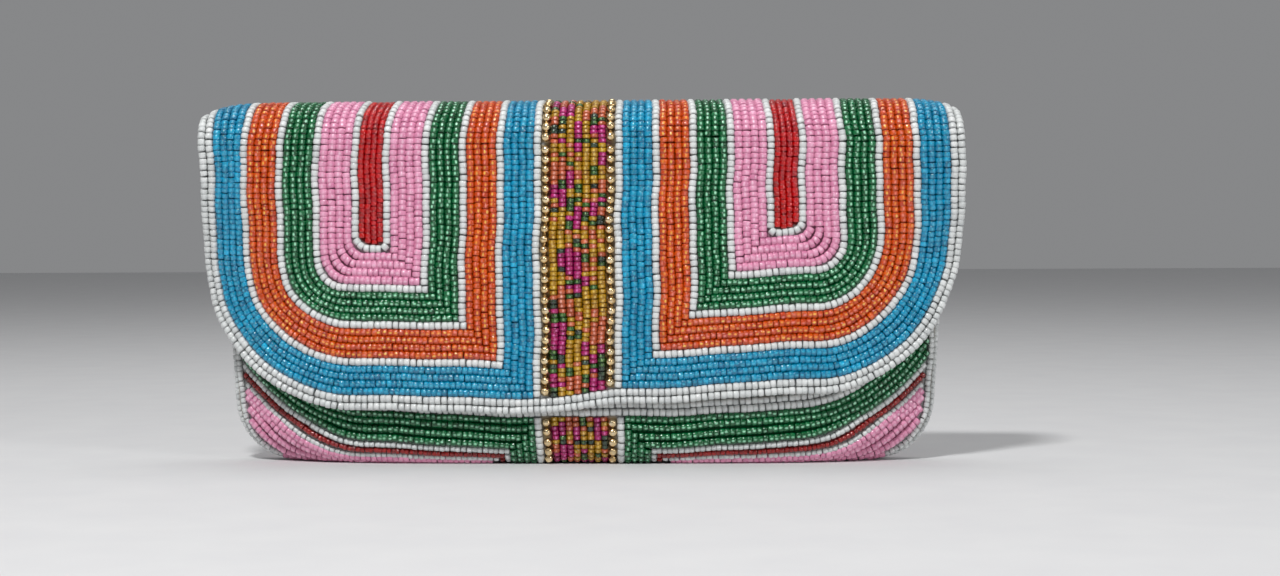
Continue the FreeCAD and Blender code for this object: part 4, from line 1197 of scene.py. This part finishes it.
def mouth_tape():
    """Tape folded over the front panel's top edge: up the face, over and down inside."""
    loop = [(0.0, 0.16), (-0.02, 0.6), (0.02, 0.95), (0.25, 1.16), (D3 * 0.5, 1.2), (D3 - 0.25, 1.16), (D3 - 0.02, 0.95), (D3, 0.6), (D3, 0.16)]
    t = np.linspace(-0.998, 0.998, 190)
    rows = []
    for depth, up in loop:
        s = np.array([Z_FOLD - Z_MOUTH - up - 0.4, Z_FOLD - Z_MOUTH - up, Z_FOLD - Z_MOUTH - up + 0.4])
        y, z, sh, w = front_row(s)
        g = shell(t[:, None], y[None], z[None], sh[None], w[None])
        n = grid_norm(g, 1)
        if n[95, 1, 1] < 0:
            n = -n
        soft = 0.05 * np.sin(t * 61.0)[:, None] * (1 if up > 0.9 else 0)
        rows.append(g[:, 1] + n[:, 1] * depth + soft * [0, 0, 0.5])
    g = np.stack(rows, 1)
    k = len(loop)
    idx = np.arange(len(t) * k).reshape(len(t), k)
    nxt = np.roll(idx, -1, axis=1)
    quads = np.stack([idx[:-1], nxt[:-1], nxt[1:], idx[1:]], -1).reshape(-1, 4)
    caps = np.stack([idx[0][::-1], idx[-1]])
    ob = make_mesh("tape_mouth", g.reshape(-1, 3), [quads, caps], [True, False])
    ob.data.materials.append(MAT_EDGE)
    return ob


tapes["mouth"] = mouth_tape()

# ---- stitches along the linings' edges
def flap_inner(u, q):
    g = flap_plain(u, q)
    return g + normal(flap_plain, u, q, 1) * (D3 + 0.02)


def stitch_line(piece, place, sign, uq):
    add_beads(piece, place, sign, uq, "thread", 0.34, 2.1, 2.9, profile=THREAD, rise=0.06, jitter=0.4, around=6)


for side in (1, -1):
    d = 2.0
    uo, qb, r = FLAP_HALF - d, FLAP_DROP - d, FLAP_CORNER - d
    uq = np.concatenate([line((uo, 1.0), (uo, qb - r)), arc_pts(uo - r, qb - r, r, 0, math.pi / 2, 28)[1:], line((uo - r, qb), (0.0, qb))[1:]])
    stitch_line("stitch_flap", flap_inner, 1, uq * [side, 1])


def front_inner(u, s):
    return p_front(u, s) + normal(p_front, u, s, 1) * (D3 + 0.02)


stitch_line("stitch_mouth", front_inner, 1, line((-118.0, Z_FOLD - Z_MOUTH + 2.0), (118.0, Z_FOLD - Z_MOUTH + 2.0), 60))
stitch_line("stitch_mouth", p_front, -1, line((-118.0, Z_FOLD - Z_MOUTH + 2.0), (118.0, Z_FOLD - Z_MOUTH + 2.0), 60))

# ------------------------------------------------------------ build pieces
REGION_BODY = {"flap": "flap", "back": "pouch", "front": "pouch", "base": "pouch", "edges": "pouch", "mouth": "pouch"}
made = {}
for name in sorted(PIECES):
    parts = name.split("_")
    finish = {"base": "pearl", "edges": "opaque"}.get(parts[1]) if parts[0] == "bw" and len(parts) == 2 else None
    if parts[0] == "stitch":
        finish = "thread"
    ob = build_beads(name, finish or FINISH[parts[2]])
    made[name] = ob
    region = parts[1]
    if region == "topf":
        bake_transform(ob)
    elif region == "topb":
        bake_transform(ob)
    else:
        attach(ob, REGION_BODY[region])

for group in (cloth, lining, tapes):
    for k, ob in group.items():
        if k == "topf":
            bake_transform(ob)
        elif k == "topb":
            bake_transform(ob)
        else:
            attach(ob, {"flap": "flap"}.get(k, "pouch"))

for name, ob in made.items():
    parts = name.split("_")
    if parts[0] == "bw" and len(parts) == 3:
        region, colour = parts[1], parts[2]
        prefix = {"flap": ["flap"], "front": ["front"], "back": ["back"], "topf": ["fold"], "topb": ["fold"]}[region]
        names = [p + "_" + colour + "_beads" for p in prefix if p + "_" + colour + "_beads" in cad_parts]
        if region == "flap" and colour == "white":
            names.append("flap_border_beads")
        if region == "topf":
            names.append("flap_top_beads")
        if region == "topb":
            names.append("back_top_beads")
        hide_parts(*names)
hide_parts("base_beads")
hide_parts("side_edge_beads")
for k, nodes in (("flap", ["flap_ground_fabric"]), ("front", ["front_ground_fabric"]), ("back", ["back_ground_fabric"]),
                 ("topf", ["fold_ground_fabric", "fold_interlining"]), ("topb", ["fold_ground_fabric", "fold_interlining"]), ("base", ["base_ground_fabric"])):
    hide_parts(*nodes)
for k, nodes in (("flap", ["flap_lining"]), ("front", ["front_lining"]), ("back", ["back_lining"]), ("topf", ["fold_lining"]), ("topb", ["fold_lining"])):
    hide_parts(*nodes)

for n in ("front_board", "back_board", "flap_board", "base_board"):
    dress(n, MAT_BOARD)
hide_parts("base_lining")
for k, n in (("left", "side_binding_left"), ("right", "side_binding_right"), ("mouth", "mouth_binding")):
    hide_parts(n)


# ---- every sheet, with the size its panel was cut to
def developed(g):
    """Width, length and area of a panel laid flat."""
    w = np.linalg.norm(np.diff(g, axis=0), axis=-1).sum(0).max()
    length = np.linalg.norm(np.diff(g, axis=1), axis=-1).sum(1)[len(g) // 2]
    a, b = g[1:, :-1] - g[:-1, :-1], g[:-1, 1:] - g[:-1, :-1]
    area = np.linalg.norm(np.cross(a, b), axis=-1).sum()
    return w * MM, length * MM, area * MM * MM


def declare(ob, g):
    w, length, area = developed(g)
    w, length = round(w, 4), round(length, 4)
    area = min(area, 0.9999 * w * length)
    print("sheet %s %.1f x %.1f mm, %.1f cm2" % (ob.name, w * 1e3, length * 1e3, area * 1e4))


declare(cloth["flap"], g_flap)
declare(cloth["front"], g_front)
declare(cloth["back"], g_back)
declare(cloth["topf"], g_topf)
declare(cloth["topb"], g_topb)
declare(cloth["base"], gb)
declare(lining["flap"], g_flap)
declare(lining["front"], g_front)
declare(lining["back"], g_back)   # the strip along the base is part of it
declare(lining["topf"], g_topf)
declare(lining["topb"], g_topb)
for n in ("snap_socket_cup", "snap_socket_washer", "snap_stud_cap", "snap_stud_post", "snap_stud_washer"):
    dress(n, MAT_SNAP)
dress("snap_socket_magnet", MAT_MAGNET)

# ------------------------------------------------------------ floor, lights
fl = bpy.data.meshes.new("floor")
fl.from_pydata([(-3, -3, 0), (3, -3, 0), (3, 3, 0), (-3, 3, 0)], [], [(0, 1, 2, 3)])
floor = bpy.data.objects.new("floor", fl)
bpy.context.scene.collection.objects.link(floor)
fm, fnt, fb = new_mat("floor_paper")
ftex = node(fnt, "ShaderNodeTexCoord")
fno = node(fnt, "ShaderNodeTexNoise")
fno.inputs["Scale"].default_value = 40.0
fnt.links.new(ftex.outputs["Object"], fno.inputs["Vector"])
fr = node(fnt, "ShaderNodeValToRGB")
fr.color_ramp.elements[0].color = (0.66, 0.66, 0.67, 1)
fr.color_ramp.elements[1].color = (0.72, 0.72, 0.72, 1)
fnt.links.new(fno.outputs["Fac"], fr.inputs["Fac"])
fnt.links.new(fr.outputs["Color"], fb.inputs["Base Color"])
fb.inputs["Roughness"].default_value = 0.8
fl.materials.append(fm)


def area_light(name, pos, target, size, power, colour=(1, 1, 1)):
    d = bpy.data.lights.new(name, "AREA")
    d.shape = "RECTANGLE"
    d.size, d.size_y = size
    d.energy = power
    d.color = colour
    o = bpy.data.objects.new(name, d)
    bpy.context.scene.collection.objects.link(o)
    o.location = pos
    o.rotation_euler = (Vector(target) - Vector(pos)).to_track_quat("-Z", "Y").to_euler()
    return o


area_light("key", (-0.22, -0.72, 1.06), (0, 0, 0.06), (0.16, 0.12), 10.5)
area_light("fill", (0.90, -0.80, 0.45), (0, 0, 0.06), (0.22, 0.22), 2.6)
area_light("top", (0.0, 0.25, 1.25), (0, 0, 0.06), (1.0, 0.6), 4.0)
world = bpy.data.worlds.new("studio")
bpy.context.scene.world = world
world.use_nodes = True
world.node_tree.nodes["Background"].inputs[0].default_value = (0.93, 0.94, 0.96, 1)
world.node_tree.nodes["Background"].inputs[1].default_value = 0.26
bpy.context.scene.view_settings.view_transform = "Standard"

print("beads", sum(len(s["c"]) for p in PIECES.values() for s in p), {k: sum(len(s["c"]) for s in v) for k, v in PIECES.items()})
